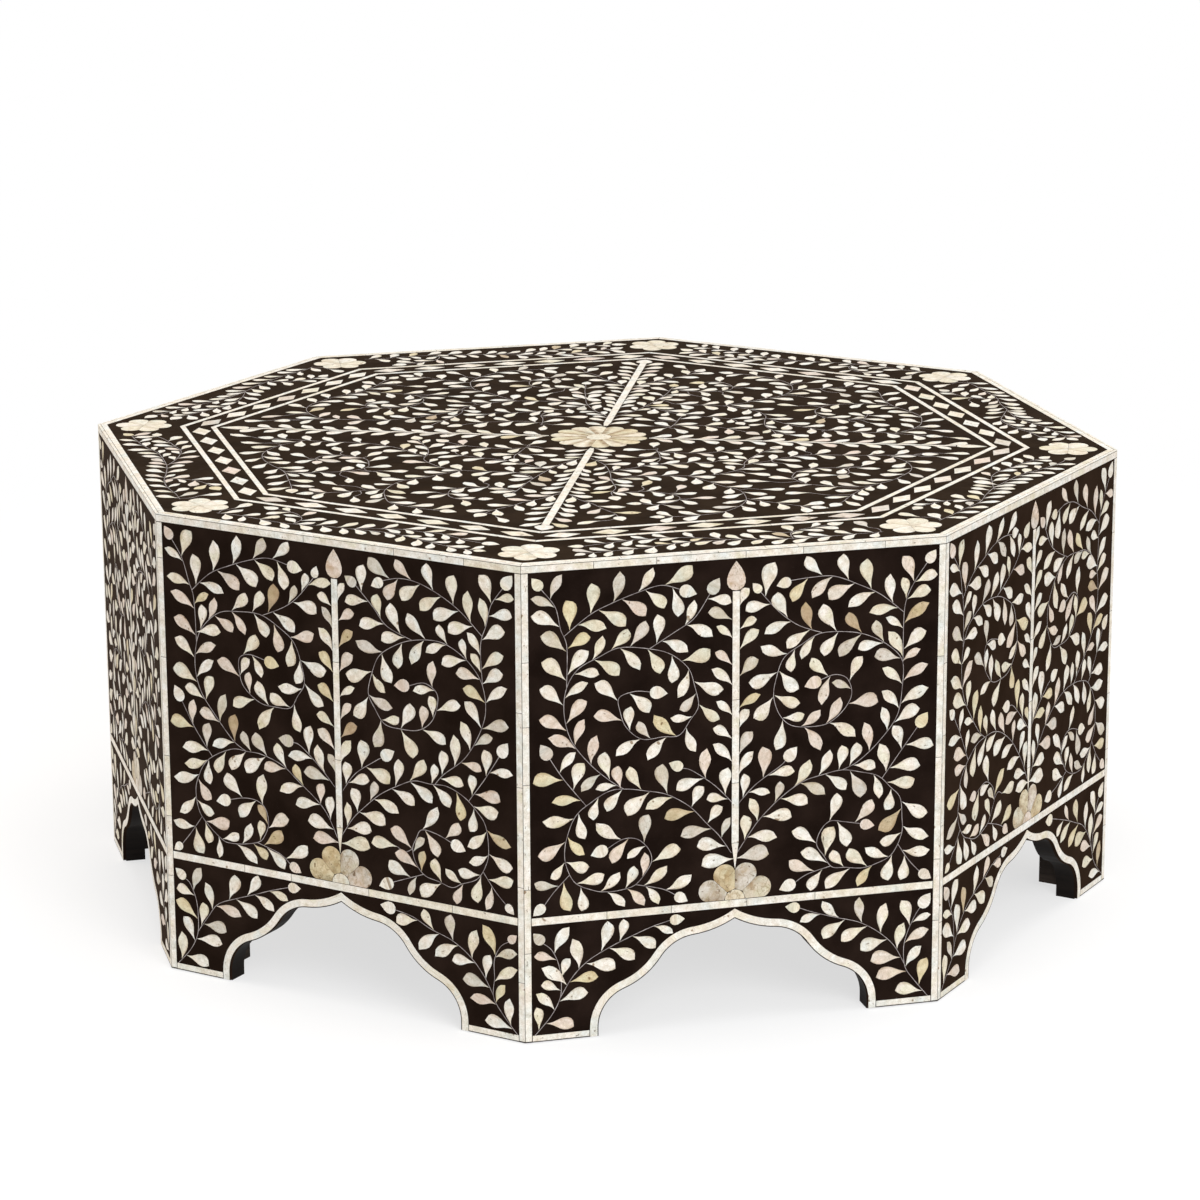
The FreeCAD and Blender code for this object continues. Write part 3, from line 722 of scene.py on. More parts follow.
# %% [markdown]
# ## Bone strips
# The frame of each side and the borders of the top are strips, and a strip is laid in short lengths that
# butt against each other, because bone comes in short pieces. Each length gets its own tint. The cuts are
# random, from a fixed seed, so the table comes out the same every time.

# %% Cut a strip into lengths
LENGTH_SHORT = 48
LENGTH_LONG = 96
LAST_LENGTH_LONG = LENGTH_LONG * 1.3
STRIP_TINTS = (0.18, 0.37)


def strip_tint(rng):
    return rng.uniform(*STRIP_TINTS)


def cut_places(rng, total):
    """Distances along a strip where two lengths meet."""
    places = [0.0]
    while total - places[-1] > LAST_LENGTH_LONG:
        places.append(places[-1] + rng.uniform(LENGTH_SHORT, LENGTH_LONG))
    return places + [total]


def straight_strip(rng, start, end, wide, start_slope=0, end_slope=0):
    """Lengths of a straight strip whose right-hand edge runs from start to end. A slope moves the far
    edge's end along the strip for each millimetre of width: the mitre at that end."""
    run = Vector(end) - Vector(start)
    along = run.normalized()
    left = Vector((-along.y, along.x))
    places = cut_places(rng, run.length)
    lengths = []
    for low, high in zip(places, places[1:]):
        near = low + BONE_JOINT / 2
        far = high - BONE_JOINT / 2
        near_top = near + (start_slope * wide if low == 0 else 0)
        far_top = far + (end_slope * wide if high == run.length else 0)
        spots = [(near, 0), (far, 0), (far_top, wide), (near_top, wide)]
        points = [tuple(Vector(start) + along * u + left * v) for u, v in spots]
        lengths.append(plate(points, strip_tint(rng), tuple(along)))
    return lengths


def bent_length(rng):
    """Length of a piece of a curved strip, half as long as a straight one."""
    return rng.uniform(LENGTH_SHORT, LENGTH_LONG) / 2


def bent_strip(rng, inner, outer):
    """Lengths of a curved strip between two paths with as many points, cut where a length is used up."""
    lengths = []
    start = 0
    used = 0.0
    wanted = bent_length(rng)
    for index in range(1, len(inner)):
        used += math.dist(inner[index - 1], inner[index])
        last = index == len(inner) - 1
        if used >= wanted or last:
            edge = outer[start:index + 1] + list(reversed(inner[start:index + 1]))
            run = Vector(inner[index]) - Vector(inner[start])
            lengths.append(plate(edge, strip_tint(rng), tuple(run.normalized())))
            start = index
            used = 0.0
            wanted = bent_length(rng)
    return lengths


# %% Frame of a side
BAND_HIGH = 7
STILE_WIDE = 6
RAIL_LOW = 108.3
RAIL_HIGH = 6.7
FOOT_BAND_HIGH = 5.2
EDGE_LINE = 0.9
ARCH_BAND_WIDE = 6.6
CORNER_LINE = 0.3
FRAME_SEED = 100
panel_half = half_side - STILE_WIDE
band_low = top_height - BAND_HIGH


def side_frame(rng):
    """Stiles, rail, foot bands and arch band of a side."""
    inside = panel_half - BONE_JOINT
    foot_low = inlay_foot + EDGE_LINE
    edge = half_side - CORNER_LINE
    plates = []
    for x in (edge, -panel_half):
        plates += straight_strip(rng, (x, foot_low), (x, band_low - BONE_JOINT), edge - panel_half)
    plates += straight_strip(rng, (-inside, RAIL_LOW), (inside, RAIL_LOW), RAIL_HIGH)
    inner = arch_line(EDGE_LINE)
    outer = arch_line(EDGE_LINE + ARCH_BAND_WIDE)
    plates += bent_strip(rng, inner, outer)
    foot_start = ARCH_HALF_WIDE + EDGE_LINE + ARCH_BAND_WIDE + BONE_JOINT
    for low, high in ((foot_start, inside), (-inside, -foot_start)):
        plates += straight_strip(rng, (low, foot_low), (high, foot_low), FOOT_BAND_HIGH)
    return plates


for side, place in side_places.items():
    frame_plates = side_frame(random.Random(FRAME_SEED + side))
    lay_plates(f"bone_frame_{side}", frame_plates, place, pale_bone, f"side_frame_{side}")
print("strips on the last side:", len(frame_plates))

# %% Top band, rim and borders
RIM_WIDE = 5.5
BORDER_OUTER = 381.4
BORDER_STRIP_WIDE = 5
BORDER_GAP = 23.5
LIP_SEED = 6
TOP_SEED = 7
border_inner = BORDER_OUTER - BORDER_STRIP_WIDE - BORDER_GAP
field_edge = border_inner - BORDER_STRIP_WIDE
rim_edge = core_apothem - RIM_WIDE
lip_wide = inlay_thick - BONE_JOINT
lip_deep = PLATE_DEPTH + BONE_JOINT
below_lip = top_place @ Matrix.Translation((0, 0, -lip_deep * MM))


def spun(points, angle, x=0, y=0):
    """The same points, turned about the middle and then moved by (x, y)."""
    c, s = ray(angle)
    return [(x + u * c - v * s, y + u * s + v * c) for u, v in points]


def turned(plates, angle):
    """The same plates, turned about the middle of the top."""
    made = []
    for drawn in plates:
        along = spun([drawn["along"]], angle)[0]
        made.append(plate(spun(drawn["points"], angle), drawn["tint"], along))
    return made


def border_ring(rng, outer, wide):
    """Eight mitred strips round the top."""
    plates = []
    half = outer * TAN_MITRE
    for side in range(SIDES):
        strip = straight_strip(rng, (-half, -outer), (half, -outer), wide, TAN_MITRE, -TAN_MITRE)
        plates += turned(strip, TURN * side)
    return plates


lip_plates = border_ring(random.Random(LIP_SEED), apothem, lip_wide)
lay_plates("bone_top_lip", lip_plates, top_place, pale_bone)
top_rng = random.Random(TOP_SEED)
band_plates = border_ring(top_rng, apothem, lip_wide)
lay_plates("bone_top_band", band_plates, below_lip, pale_bone, depth=BAND_HIGH - lip_deep)
for label, replaced, outer, wide in (
        ("rim", "top_rim", core_apothem, RIM_WIDE),
        ("border_outer", "border_outer", BORDER_OUTER, BORDER_STRIP_WIDE),
        ("border_inner", "border_inner", border_inner, BORDER_STRIP_WIDE)):
    ring = border_ring(top_rng, outer, wide)
    lay_plates(f"bone_{label}", ring, top_place, pale_bone, replaced)
    print(label, "in", len(ring), "lengths")

# %% [markdown]
# ## Diamonds, flowers and buds
# Between the border strips runs a row of diamonds. A rosette sits in every corner of the top and a large
# one in the middle, and each side has half a flower on its rail, with a stem and a bud above it. A petal is
# a wedge with a round end: the lobes of neighbours would overlap, so each is trimmed at the line between.

# %% Diamonds
DIAMONDS_PER_SIDE = 7
DIAMOND_LONG = 34
DIAMOND_WIDE = 17.5
DIAMOND_LONGS = (0.95, 1.04)
DIAMOND_WIDES = (0.94, 1.06)
DIAMOND_TINTS = (0.05, 0.75)


def diamond_row(rng):
    middle = BORDER_OUTER - BORDER_STRIP_WIDE - BORDER_GAP / 2
    pitch = 2 * middle * TAN_MITRE / DIAMONDS_PER_SIDE
    plates = []
    for side in range(SIDES):
        row = []
        for number in range(DIAMONDS_PER_SIDE):
            x = pitch * (number - (DIAMONDS_PER_SIDE - 1) / 2)
            long = DIAMOND_LONG / 2 * rng.uniform(*DIAMOND_LONGS)
            wide = DIAMOND_WIDE / 2 * rng.uniform(*DIAMOND_WIDES)
            points = [(x - long, -middle), (x, -middle - wide), (x + long, -middle), (x, -middle + wide)]
            row.append(plate(points, rng.uniform(*DIAMOND_TINTS)))
        plates += turned(row, TURN * side)
    return plates


lay_plates("bone_diamonds", diamond_row(top_rng), top_place, pale_bone, "border_diamonds")

# %% Petals
LOBE_STEPS = 7
FLANK_STEPS = 5
PETAL_JOINT = 0.22


def petal(x, y, axis, spread, reach, lobe, inner, neck, tint):
    """Petal about the point (x, y), pointing along axis: a round end, and flanks that draw in towards the
    middle by the neck share, trimmed at the line where the next petal begins."""
    slope = math.tan(spread / 2)
    gap = PETAL_JOINT / 2 / math.sin(spread / 2)
    start = max(inner, gap)
    shape = []
    for step in range(FLANK_STEPS + 1):
        u = start + (reach - start) * step / FLANK_STEPS
        shape.append((u, lobe * math.sqrt(1 - neck * ((reach - u) / (reach - start)) ** 2)))
    for step in range(1, LOBE_STEPS):
        angle = math.pi / 2 * (1 - step / LOBE_STEPS)
        shape.append((reach + lobe * math.cos(angle), lobe * math.sin(angle)))
    trimmed = [(u, min(half, (u - gap) * slope)) for u, half in shape]
    outline = [(u, -half) for u, half in trimmed] + [(reach + lobe, 0)]
    outline += [(u, half) for u, half in reversed(trimmed) if half > 0]
    shades = [v - (u - gap) * slope for u, v in outline]
    return plate(spun(outline, axis, x, y), tint, ray(axis), shades)


def petal_ring(rng, x, y, axes, shape, tints, wander):
    """A petal on each axis from (x, y). shape is their reach, lobe, inner radius and neck."""
    spread = axes[1] - axes[0]
    plates = []
    for axis in axes:
        tint = rng.choice(tints) + rng.uniform(-wander, wander)
        plates.append(petal(x, y, axis, spread, *shape, tint))
    return plates


# %% Bosses and buds
BUD_STEPS = 9
BUD_WIDEST = 1 / 3


def disc(y, radius, angles, tint):
    """Round plate about (0, y), or part of one, with its corners at the angles."""
    return plate([(radius * math.cos(angle), y + radius * math.sin(angle)) for angle in angles], tint)


def bud_flank(share):
    return math.sqrt(share) * (1 - share)


def bud(x, y, angle, long, wide, tint):
    """Bud with its round foot at (x, y) and its point ahead."""
    right = []
    for step in range(BUD_STEPS + 1):
        share = (1 - math.cos(math.pi * step / BUD_STEPS)) / 2
        right.append((share * long, -wide / 2 * bud_flank(share) / bud_flank(BUD_WIDEST)))
    outline = right + [(u, -v) for u, v in reversed(right[1:-1])]
    return plate(spun(outline, angle, x, y), tint, ray(angle))


# %% Flower, stem and bud of a side
rail_top = RAIL_LOW + RAIL_HIGH
FLOWER_REACH = 24.6
FLOWER_LOBE = 10.2
FLOWER_BOSS = 9
FLOWER_NECK = 0.75
FLOWER_PETALS = 4
FLOWER_TINTS = (0.46, 0.5, 0.66, 0.73, 0.76, 0.8, 0.82, 0.92)
FLOWER_WANDER = 0.02
FLOWER_BOSS_STEPS = 14
FLOWER_BOSS_TINTS = (0.42, 0.72)
FLOWER_SEED = 200
STEM_WIDE = 6.2
STEM_LOW = 143
STEM_TAPER = 24
SIDE_BUD_LONG = 26
SIDE_BUD_WIDE = 16.8
SIDE_BUD_INSET = 2.3
SIDE_BUD_TINTS = (0.62, 0.69)
flower_axes = [math.pi / FLOWER_PETALS * (number + 0.5) for number in range(FLOWER_PETALS)]
side_bud_low = band_low - SIDE_BUD_INSET - SIDE_BUD_LONG


def side_stem(rng):
    half = STEM_WIDE / 2
    top = side_bud_low - BONE_JOINT
    first = STEM_LOW + STEM_TAPER
    point = plate([(0, STEM_LOW), (half, first), (-half, first)], strip_tint(rng), (0, 1))
    shaft = straight_strip(rng, (half, first + BONE_JOINT / 2), (half, top), STEM_WIDE)
    return [point] + shaft


def side_flower(rng):
    base = rail_top + BONE_JOINT
    boss_angles = [math.pi * step / FLOWER_BOSS_STEPS for step in range(FLOWER_BOSS_STEPS + 1)]
    boss = disc(base, FLOWER_BOSS, boss_angles, rng.uniform(*FLOWER_BOSS_TINTS))
    shape = (FLOWER_REACH, FLOWER_LOBE, FLOWER_BOSS + PETAL_JOINT, FLOWER_NECK)
    petals = petal_ring(rng, 0, base, flower_axes, shape, FLOWER_TINTS, FLOWER_WANDER)
    tip = bud(0, side_bud_low, math.pi / 2, SIDE_BUD_LONG, SIDE_BUD_WIDE, rng.uniform(*SIDE_BUD_TINTS))
    return [boss, *petals, tip]


for side, place in side_places.items():
    rng = random.Random(FLOWER_SEED + side)
    lay_plates(f"bone_flower_{side}", side_flower(rng), place, flower_bone, f"side_flower_{side}")
    lay_plates(f"bone_stem_{side}", side_stem(rng), place, pale_bone)
print("flowers, stems and buds on", SIDES, "sides")

# %% Rosettes of the top
CORNER_ROSETTE = 449
CORNER_REACH = 17.5
CORNER_LOBE = 10
CORNER_PETALS = 6
CORNER_TINTS = (0.04, 0.06, 0.1, 0.14, 0.44)
CENTRE_REACH = 38
CENTRE_LOBE = 9
CENTRE_BOSS = 12
CENTRE_BOSS_STEPS = 24
CENTRE_BOSS_TINT = 0.03
CENTRE_PETALS = 14
CENTRE_TINTS = (0.0, 0.02, 0.03, 0.86, 0.88)
ROSETTE_NECK = 0.3
ROSETTE_WANDER = 0.04


def full_turn(count, first=0):
    """Angles of a full turn in equal steps."""
    return [first + 2 * math.pi * number / count for number in range(count)]


corner_plates = []
for angle in corner_angles:
    corner_plates += petal_ring(
        top_rng, *ray(angle, CORNER_ROSETTE), full_turn(CORNER_PETALS, angle),
        (CORNER_REACH, CORNER_LOBE, 0, ROSETTE_NECK), CORNER_TINTS, ROSETTE_WANDER)
lay_plates("bone_corner_rosettes", corner_plates, top_place, corner_bone, "corner_rosettes")
centre_plates = petal_ring(
    top_rng, 0, 0, full_turn(CENTRE_PETALS),
    (CENTRE_REACH, CENTRE_LOBE, CENTRE_BOSS + PETAL_JOINT, ROSETTE_NECK), CENTRE_TINTS, ROSETTE_WANDER)
centre_plates.append(disc(0, CENTRE_BOSS, full_turn(CENTRE_BOSS_STEPS), CENTRE_BOSS_TINT))
lay_plates("bone_centre_rosette", centre_plates, top_place, centre_bone, "centre_rosette")
print("petals on the top:", len(corner_plates) + len(centre_plates) - 1)

# %% Spokes of the top
SPOKE_START = 48.5
SPOKE_TAPER = 14
SPOKE_END_GAP = 4
BARS = {"angles": (TURN * -2.5, TURN * 1.5), "wides": (3.6, 6.8), "bud": (19, 17), "bud_tint": 0.3}
STEMS = {"angles": (TURN * -0.5, TURN * 3.5), "wides": (1.6, 3.2), "bud": (29, 13), "bud_tint": 0.35}
spoke_end = field_edge / COS_MITRE - SPOKE_END_GAP


def spoke(rng, angle, inner_wide, outer_wide, end):
    """Straight tapered bar from the middle rosette outwards, in lengths."""
    places = [0.0] + [SPOKE_TAPER + at for at in cut_places(rng, end - SPOKE_START - SPOKE_TAPER)]
    plates = []
    for low, high in zip(places, places[1:]):
        shares = [min(1, at / SPOKE_TAPER) for at in (low, high)]
        halves = [(inner_wide + (outer_wide - inner_wide) * share) / 2 for share in shares]
        near = SPOKE_START + low + BONE_JOINT / 2
        far = SPOKE_START + high - BONE_JOINT / 2
        points = [(near, -halves[0]), (far, -halves[1]), (far, halves[1]), (near, halves[0])]
        plates.append(plate(points, strip_tint(rng)))
    return turned(plates, angle)


for kind, spokes in (("bar", BARS), ("stem", STEMS)):
    bud_long, bud_wide = spokes["bud"]
    bud_low = spoke_end - bud_long
    lengths = []
    buds = []
    for angle in spokes["angles"]:
        lengths += spoke(top_rng, angle, *spokes["wides"], bud_low - BONE_JOINT)
        buds += turned([bud(bud_low, 0, 0, bud_long, bud_wide, spokes["bud_tint"])], angle)
    lay_plates(f"bone_spoke_{kind}s", lengths, top_place, pale_bone, f"spoke_{kind}s")
    lay_plates(f"bone_{kind}_buds", buds, top_place, pale_bone, f"spoke_{kind}_buds")
    print(kind, "spokes in", len(lengths), "lengths")

# %% [markdown]
# ## Vines
# The vines are what makes this table: curls that branch off each other and carry leaves on both sides.
# Each vine is a handful of points that a smooth curve runs through. Half a side is drawn, and the other
# half is its mirror image, a little unsteady, because the maker drew each panel afresh.

# %% Vines of a side
PANEL_VINES = (
    ((2, 157), (13.5, 175.5), (24.5, 188), (41.5, 203), (61, 216), (80, 222.7), (97, 224), (113.5, 222.7),
     (130, 216), (143, 205), (150, 194), (154, 177), (153, 160), (143, 145), (127.5, 135), (116.5, 132),
     (102.5, 134), (88.5, 138.6), (80, 149), (76, 160), (79, 171), (87, 178), (100, 179), (116, 174)),
    ((99, 225), (111, 232), (130, 249), (145.5, 271), (152.5, 296), (150, 318.6), (140, 335), (122, 346),
     (102.5, 351), (77.5, 350), (58, 342), (44, 330), (36, 313), (34.5, 296), (40, 282), (50, 271),
     (66.5, 268.6), (83, 270), (97, 280), (104, 293.6), (102.5, 307), (91.5, 313), (76, 309)),
    ((77.5, 350), (55, 360), (38.5, 373), (22, 392)),
    ((150, 318), (150.3, 355), (154, 373), (161, 391), (172, 407)),
    ((147, 366), (131.5, 381), (111, 392), (88.5, 400), (68, 402.4), (50, 399)),
    ((3, 203), (19, 220), (38.5, 235), (46, 239)),
    ((140, 220), (152.5, 237), (166, 259)),
    ((153, 149), (161, 137), (171, 125)),
    ((88.5, 137), (66.5, 131), (54, 125.5)),
)
FOOT_VINES = (
    ((181.7, 7.4), (166, 24), (158, 38), (158, 55), (159.5, 71), (166, 85), (172, 91)),
    ((157, 40), (147, 57), (133, 71), (113.5, 82), (94, 89), (75, 96), (58, 100)),
)
PATH_STEP = 1.5


def smooth_path(points):
    """Points every step or so along a curve that passes through all the given points."""
    ends = [points[0], *points, points[-1]]
    path = []
    for before, start, end, after in zip(ends, ends[1:], ends[2:], ends[3:]):
        steps = max(1, round(math.dist(start, end) / PATH_STEP))
        for step in range(steps):
            t = step / steps
            spot = []
            for p, q, r, s in zip(before, start, end, after):
                square = 2 * p - 5 * q + 4 * r - s
                cube = 3 * q - p - 3 * r + s
                spot.append((2 * q + (r - p) * t + square * t ** 2 + cube * t ** 3) / 2)
            path.append(tuple(spot))
    path.append(tuple(points[-1]))
    return path


WANDER = 1.6
BRANCH_REACH = 14


def unsteady(rng, points, sense):
    """The same vine, mirrored for the other half and moved a little."""
    return [(sense * x + rng.uniform(-WANDER, WANDER), y + rng.uniform(-WANDER, WANDER)) for x, y in points]


def grow_vines(rng, drawings, sense):
    """Paths of the drawn vines. A branch starts on the nearest vine before it."""
    paths = []
    for points in drawings:
        moved = unsteady(rng, points, sense)
        spots = [spot for path in paths for spot in path]
        root = min(spots, key=lambda spot: math.dist(spot, moved[0]), default=moved[0])
        if math.dist(root, moved[0]) < BRANCH_REACH:
            moved[0] = root
        paths.append(smooth_path(moved))
    return paths


# %% [markdown]
# A leaf grows from a narrow tail, swells on the side nearer the vine's tip, and ends in a soft corner. Three
# outlines and their mirror images serve as patterns, with a rounder one for the bud at a vine's end. A walk
# along every vine sets a leaf on each side every two centimetres or so. Then each leaf looks around: it
# tries a few angles, sizes and places, keeps the one that leaves the most even gaps, and gives up its
# place if nothing fits.

# %% Leaf patterns
FULL_LEAF = (
    (0, 0), (0.07, 0.12), (0.17, 0.24), (0.31, 0.36), (0.45, 0.48), (0.54, 0.60), (0.57, 0.72), (0.52, 0.83),
    (0.36, 0.92), (-0.16, 1.02), (-0.32, 0.92), (-0.42, 0.81), (-0.45, 0.69), (-0.39, 0.57), (-0.28, 0.45),
    (-0.15, 0.32), (-0.05, 0.17))
SLIM_LEAF = (
    (0, 0), (0.10, 0.11), (0.24, 0.23), (0.38, 0.36), (0.47, 0.50), (0.48, 0.64), (0.42, 0.77), (0.28, 0.89),
    (0.07, 0.95), (-0.16, 1.02), (-0.28, 0.88), (-0.40, 0.76), (-0.44, 0.63), (-0.37, 0.50), (-0.24, 0.38),
    (-0.10, 0.27), (-0.01, 0.14))
BROAD_LEAF = (
    (0, 0), (0.04, 0.12), (0.13, 0.24), (0.29, 0.36), (0.46, 0.49), (0.57, 0.62), (0.59, 0.75), (0.50, 0.87),
    (0.28, 0.95), (-0.24, 1.0), (-0.39, 0.90), (-0.48, 0.78), (-0.50, 0.66), (-0.43, 0.53), (-0.29, 0.40),
    (-0.15, 0.27), (-0.05, 0.13))
ROUND_BUD = (
    (0, 0), (0.22, 0.03), (0.40, 0.14), (0.50, 0.32), (0.47, 0.52), (0.33, 0.71), (0.14, 0.88), (0, 1),
    (-0.14, 0.88), (-0.33, 0.71), (-0.47, 0.52), (-0.50, 0.32), (-0.40, 0.14), (-0.22, 0.03))
LEAF_SHAPES = (FULL_LEAF, SLIM_LEAF, BROAD_LEAF)
LEAF_ACROSS = 0.5
BUD_ACROSS = 0.1


def mirrored(outline):
    return [(-u, v) for u, v in reversed(outline)]


def pattern_object(name, outline, across):
    """Pattern a unit long and wide. The grain's measure across it is the given share of its own."""
    mesh = new_mesh(name, [(u, v, 0) for u, v in outline], faces=[range(len(outline))])
    grains = [number for u, v in outline for number in (u * across, v, 0)]
    add_values(mesh, "grain", grains, "FLOAT_VECTOR", "vector")
    return bpy.data.objects.new(name, mesh)


leaf_patterns = bpy.data.collections.new("leaf_patterns")
outlines = [*LEAF_SHAPES, *map(mirrored, LEAF_SHAPES), ROUND_BUD]
BUD_PATTERN = len(outlines) - 1
for number, outline in enumerate(outlines):
    across = BUD_ACROSS if number == BUD_PATTERN else LEAF_ACROSS
    leaf_patterns.objects.link(pattern_object(f"pattern_{number}", outline, across))
print("leaf patterns:", len(outlines))

# %% The bed that leaves are laid in
EDGE_CLEAR = 2.0
EDGE_STEP = 2.5
VINE_CLEAR = 1.5
FAR_OFF = 99.0


class Bed:
    """What leaves keep clear of on a face, as circles. A gap is part of each circle's radius."""

    def __init__(self):
        self.solid = []
        self.vines = []

    def add_line(self, path, radius):
        self.solid += [(x, y, radius) for x, y in path]

    def add_edge(self, start, end, radius=EDGE_CLEAR):
        count = max(1, math.ceil(math.dist(start, end) / EDGE_STEP))
        for number in range(count + 1):
            t = number / count
            x, y = [low + (high - low) * t for low, high in zip(start, end)]
            self.solid.append((x, y, radius))

    def add_vine(self, path):
        self.vines += [(x, y, VINE_CLEAR) for x, y in path[::2]]


def room(circles, others):
    """Smallest gap from each set of circles to the other circles."""
    if not len(others):
        return np.full(len(circles), FAR_OFF)
    across = circles[:, :, None, 0] - others[None, None, :, 0]
    up = circles[:, :, None, 1] - others[None, None, :, 1]
    gaps = np.hypot(across, up) - circles[:, :, None, 2] - others[None, None, :, 2]
    return gaps.min(axis=(1, 2))


def near(others, x, y, reach):
    """Which of the other circles lie within reach of a spot."""
    return (abs(others[:, 0] - x) < reach) & (abs(others[:, 1] - y) < reach)


# %% A leaf and the ways it can lie
LEAF_CIRCLES = np.array(((0.30, 0.16), (0.48, 0.35), (0.66, 0.49), (0.81, 0.44), (0.93, 0.22)))
BUD_CIRCLES = np.array(((0.15, 0.3), (0.35, 0.48), (0.55, 0.42), (0.72, 0.3), (0.9, 0.1)))
SIZES = (1.1, 1.0, 0.9, 0.8, 0.72)
TURNS = [math.radians(degrees) for degrees in (-24, -12, 0, 12, 24)]
SHIFTS = (-4.5, 0, 4.5)
WIDTH_SHARE = 0.425
LEAF_LONGS = (0.94, 1.06)
LEAF_WIDES = (0.93, 1.08)
LEAN_DEGREES = 5
HEADING_STEPS = 2
TURN_COST = 0.5
SHIFT_COST = 0.4
SIZE_COST = 9
TINT_SHARES = (
    (0.56, (0.12, 0.34)),
    (0.14, (0.36, 0.50)),
    (0.14, (0.60, 0.69)),
    (0.09, (0.72, 0.79)),
    (0.055, (0.84, 0.91)),
    (0.015, (0.93, 1.0)),
)


def leaf_tint(rng):
    """Half of the leaves are pale ivory, the others yellowish, pinkish, grey, tan and, rarely, brown."""
    shares = [share for share, tints in TINT_SHARES]
    return rng.uniform(*rng.choices([tints for share, tints in TINT_SHARES], shares)[0])


def loose_leaf(rng, ways, costs, pattern):
    """A leaf that isn't laid yet, with the ways it can lie and what each of them costs."""
    return {"ways": np.array(ways), "costs": np.array(costs), "pattern": pattern, "tint": leaf_tint(rng)}


def heading_at(path, index):
    """Angle in which a path runs at one of its points."""
    back = path[max(index - HEADING_STEPS, 0)]
    ahead = path[min(index + HEADING_STEPS, len(path) - 1)]
    return math.atan2(ahead[1] - back[1], ahead[0] - back[0])


def leaf_ways(rng, path, at, side, long, spread, base_gap):
    """Every way a leaf can lie near a place on a path, on its left (side 1) or right (side -1)."""
    long *= rng.uniform(*LEAF_LONGS)
    lean = spread + math.radians(rng.uniform(-LEAN_DEGREES, LEAN_DEGREES))
    share = WIDTH_SHARE * rng.uniform(*LEAF_WIDES)
    ways = []
    costs = []
    for shift in SHIFTS:
        index = min(max(round((at + shift) / PATH_STEP), 0), len(path) - 1)
        heading = heading_at(path, index)
        x = path[index][0] - math.sin(heading) * side * base_gap
        y = path[index][1] + math.cos(heading) * side * base_gap
        for turn in TURNS:
            moved = TURN_COST * (turn / TURNS[-1]) ** 2 + SHIFT_COST * (shift / SHIFTS[-1]) ** 2
            for size in SIZES:
                ways.append((x, y, heading + side * (lean + turn), long * size, long * size * share))
                costs.append(moved + SIZE_COST * (1 - size) ** 2)
    pattern = rng.randrange(len(LEAF_SHAPES)) + (0 if side > 0 else len(LEAF_SHAPES))
    return loose_leaf(rng, ways, costs, pattern)


def way_circles(ways, circles):
    """Circles that cover a leaf, for each way it can lie."""
    x = ways[:, None, 0] + np.cos(ways[:, None, 2]) * ways[:, None, 3] * circles[None, :, 0]
    y = ways[:, None, 1] + np.sin(ways[:, None, 2]) * ways[:, None, 3] * circles[None, :, 0]
    return np.stack((x, y, ways[:, None, 4] * circles[None, :, 1]), axis=2)


# %% The walk along a vine
LEAF_PITCH = 22.5
PITCH_WANDER = 1.5
PAIR_OFFSETS = (2, 8)
VINE_END_GAP = 7
LEAF_SPREAD = math.radians(52)
VINE_BUD_LONG = 16
VINE_BUD_WIDE = 11.5
VINE_BUD_SIZES = (1, 0.85, 0.7)
VINE_BUD_SIZE_COST = 12


def walk_vine(rng, path, long=LEAF_LONG, pitch=LEAF_PITCH, start=9, spread=LEAF_SPREAD, base_gap=0.5):
    """Leaves in near pairs along a vine."""
    total = len(path) * PATH_STEP
    offset = rng.uniform(*PAIR_OFFSETS)
    leaves = []
    for side, first in ((1, start), (-1, start + offset)):
        at = first
        while at < total - VINE_END_GAP:
            leaves.append(leaf_ways(rng, path, at, side, long, spread, base_gap))
            at += pitch + rng.uniform(-PITCH_WANDER, PITCH_WANDER)
    return leaves


def end_bud(rng, path):
    """Bud on the end of a vine."""
    x, y = path[-1]
    heading = heading_at(path, len(path) - 1)
    ways = []
    costs = []
    for turn in TURNS:
        for size in VINE_BUD_SIZES:
            ways.append((x, y, heading + turn, VINE_BUD_LONG * size, VINE_BUD_WIDE * size))
            costs.append((turn / TURNS[-1]) ** 2 + VINE_BUD_SIZE_COST * (1 - size) ** 2)
    return loose_leaf(rng, ways, costs, BUD_PATTERN)


def leafy_vines(rng, bed, paths, **walk):
    """A bud on each vine's end and leaves along it. The bed takes up the vine."""
    leaves = []
    for path in paths:
        bed.add_vine(path)
        leaves.append(end_bud(rng, path))
        leaves += walk_vine(rng, path, **walk)
    return leaves


# %% Let the leaves settle
SETTLE_ROUNDS = 4
PATIENT_ROUNDS = 2
CROWDED = -1.3
BED_REACH = 50
LEAF_REACH = 60


def best_way(leaf, gaps):
    """Number of the way that costs least, where overlap counts as well."""
    return int(np.argmin(leaf["costs"] + np.minimum(gaps, 0) ** 2))


